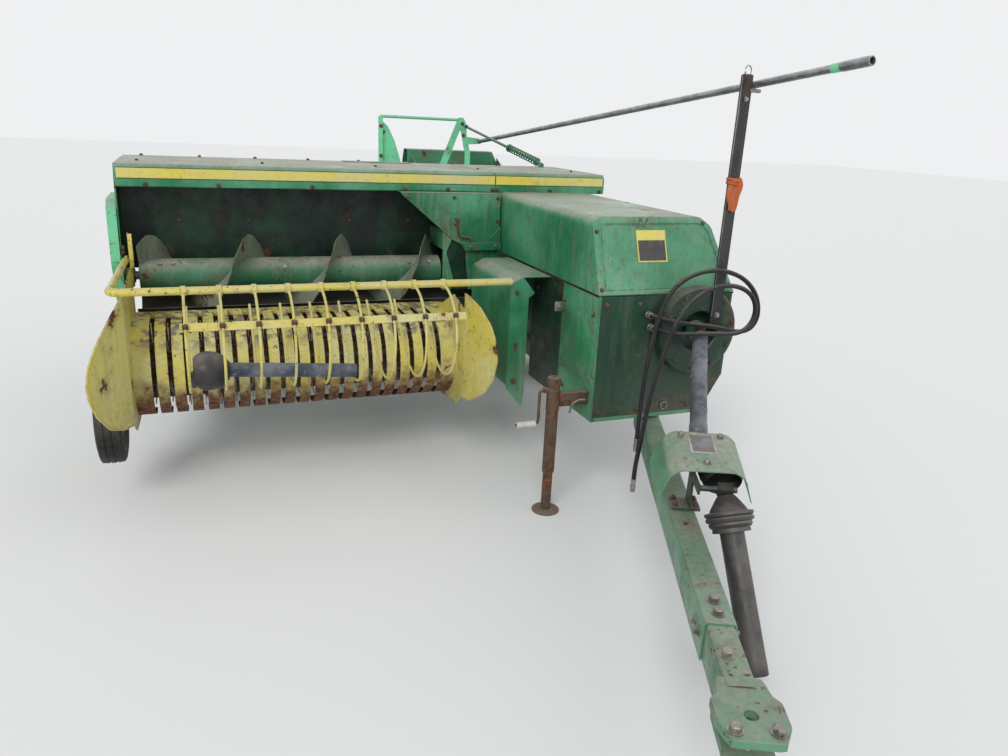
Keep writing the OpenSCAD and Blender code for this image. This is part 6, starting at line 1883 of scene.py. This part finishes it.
    def twine(self):
        """Beads, ribs, clasps and handle of the twine box."""
        bm = bmesh.new()
        for z in (0.790, 1.188):
            ring = [(TWINE_X0, TWINE_Y0, z), (TWINE_X1, TWINE_Y0, z), (TWINE_X1, TWINE_Y1, z),
                (TWINE_X0, TWINE_Y1, z)]
            tube(bm, ring + ring[:1], 0.0032, 8)
        for x in (-0.010, 0.290):
            prism(bm, folded([(x - 0.020, 1.2395), (x - 0.012, 1.2330), (x + 0.012, 1.2330),
                (x + 0.020, 1.2395)], 0.002), "z", 0.800, 1.180, 4)
        for x in (-0.2600, 0.5400):
            side = -1 if x < 0 else 1
            spot = (x + side * 0.0006, 1.540, 1.060)
            turned_ring(bm, [(0.022, -0.001), (0.027, 0.001), (0.022, 0.003)], spot, (side, 0, 0), 24)
        finish_piece(bm, "twine_box_beads", "chassis", "shield_green")
        bm = bmesh.new()
        for x in (-0.140, 0.400):
            block(bm, (x - 0.014, 1.2325, 1.140), (x + 0.014, 1.2365, 1.196), 0.001)
            bolt(bm, (x, 1.2325, 1.152), (0, -1, 0), 0.012)
        finish_piece(bm, "twine_box_clasps", "chassis", "worn_steel")
        bm = bmesh.new()
        path = [(0.080, 1.262, 1.2060), (0.080, 1.262, 1.232), (0.090, 1.262, 1.240), (0.190, 1.262, 1.240),
            (0.200, 1.262, 1.232), (0.200, 1.262, 1.2060)]
        tube(bm, path, 0.0048, 10)
        for y in (1.360, 1.540, 1.720):
            prism(bm, folded([(y - 0.024, 1.2062), (y - 0.014, 1.2105), (y + 0.014, 1.2105),
                (y + 0.024, 1.2062)], 0.002), "x", -0.220, 0.500, 6)
        finish_piece(bm, "twine_lid_ribs", "twine_lid", "shield_green")

    def chamber(self):
        """Bolts and ribs of the chamber and of the frame."""
        x0, x1 = CHAMBER_X - CHAMBER_W / 2, CHAMBER_X + CHAMBER_W / 2
        floor, roof = CHAMBER_FLOOR, CHAMBER_FLOOR + CHAMBER_H
        bm = bmesh.new()
        for y in (0.950, 1.350, 2.050, 2.450):
            for z in (floor + 0.050, (floor + roof) / 2, roof - 0.050):
                bolt(bm, (x0 - 0.030, y + 0.015, z), (-1, 0, 0), 0.016, 0.004)
                bolt(bm, (x1 + 0.030, y + 0.015, z), (1, 0, 0), 0.016, 0.004)
            for x in (x0 + 0.050, CHAMBER_X - 0.060, x1 - 0.050):
                bolt(bm, (x, y + 0.015, roof + 0.030), (0, 0, 1), 0.016, 0.004)
        for y in (1.440, 1.900, 2.300, 2.600):
            for z in (floor - 0.008, roof + 0.008):
                bolt(bm, (x1 + 0.030, y, z), (1, 0, 0), 0.014)
                bolt(bm, (x0 - 0.030, y, z), (-1, 0, 0), 0.014)
        finish_piece(bm, "chamber_bolts", "chassis", "bolt_rusty")
        bm = bmesh.new()
        for x in (x0 - 0.0062, x1 + 0.0062):
            for z in (floor + 0.090, roof - 0.090):
                out = x + (0.012 if x > 0.8 else -0.012)
                rib = folded([(z - 0.018, x), (z - 0.010, out), (z + 0.010, out), (z + 0.018, x)], 0.0025)
                y0, y1 = (-0.300, 0.940) if x > 0.8 else (0.980, 1.345)
                prism(bm, [(b, a) for a, b in rib], "y", y0, y1, 6)
        for y in (CHAMBER_REAR - 0.012, -0.318):
            for z in (floor - 0.006, roof + 0.006):
                tube(bm, [(x0 - 0.004, y, z), (x1 + 0.004, y, z)], 0.0045, 8)
        finish_piece(bm, "chamber_ribs", "chassis", "frame_green")
        bm = bmesh.new()
        for x in (0.700, 0.860, 1.060):
            bolt(bm, (x, -0.760, 0.560), (0, -1, 0), 0.020, 0.006)
        for x in (-1.100, -0.700, -0.300, 0.100, 0.420):
            bolt(bm, (x, 0.700, 0.560), (0, -1, 0), 0.018, 0.006)
        for y in (-0.60, -0.20, 0.30, 0.80, 1.22):
            bolt(bm, (1.169, y, 0.560), (1, 0, 0), 0.018, 0.006)
        finish_piece(bm, "frame_bolts", "chassis", "bolt_rusty")


PIECES = (BALER_OT_hoses, BALER_OT_hood, BALER_OT_feeder, BALER_OT_box_guard, BALER_OT_shields,
    BALER_OT_auger, BALER_OT_pickup, BALER_OT_reel, BALER_OT_windguard, BALER_OT_stored_shaft,
    BALER_OT_tongue, BALER_OT_shafts, BALER_OT_jack, BALER_OT_post, BALER_OT_wheels, BALER_OT_rear)


class BALER_PT_panel(bpy.types.Panel):
    """Lists the baler's pieces and their settings"""

    bl_idname = "BALER_PT_panel"
    bl_label = "Baler"
    bl_space_type = "VIEW_3D"
    bl_region_type = "UI"
    bl_category = "Baler"

    def draw(self, context):
        column = self.layout.column()
        column.operator(BALER_OT_studio.bl_idname)
        for piece in PIECES:
            column.operator(piece.bl_idname)
        for settings in (context.scene.baler_parts, context.scene.baler_paint, context.scene.baler_studio):
            box = self.layout.box()
            for name in settings.bl_rna.properties.keys():
                if name not in ("rna_type", "name"):
                    box.prop(settings, name)


SETTINGS = (("baler_paint", BalerPaint), ("baler_parts", BalerParts), ("baler_studio", BalerStudio))


def register():
    """Adds the settings, the operators and the panel."""
    for name, group in SETTINGS:
        bpy.utils.register_class(group)
        setattr(bpy.types.Scene, name, bpy.props.PointerProperty(type=group))
    for part in (BALER_OT_studio,) + PIECES + (BALER_PT_panel,):
        bpy.utils.register_class(part)


def unregister():
    """Takes them away again."""
    for part in reversed((BALER_OT_studio,) + PIECES + (BALER_PT_panel,)):
        bpy.utils.unregister_class(part)
    for name, group in reversed(SETTINGS):
        delattr(bpy.types.Scene, name)
        bpy.utils.unregister_class(group)


def main():
    """Dresses the baler piece by piece; its size before was noted on import."""
    register()
    bpy.ops.baler.studio()
    mix_paints()
    for piece in PIECES:
        family, name = piece.bl_idname.split(".")
        getattr(getattr(bpy.ops, family), name)()
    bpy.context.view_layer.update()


if __name__ == "__main__":
    main()
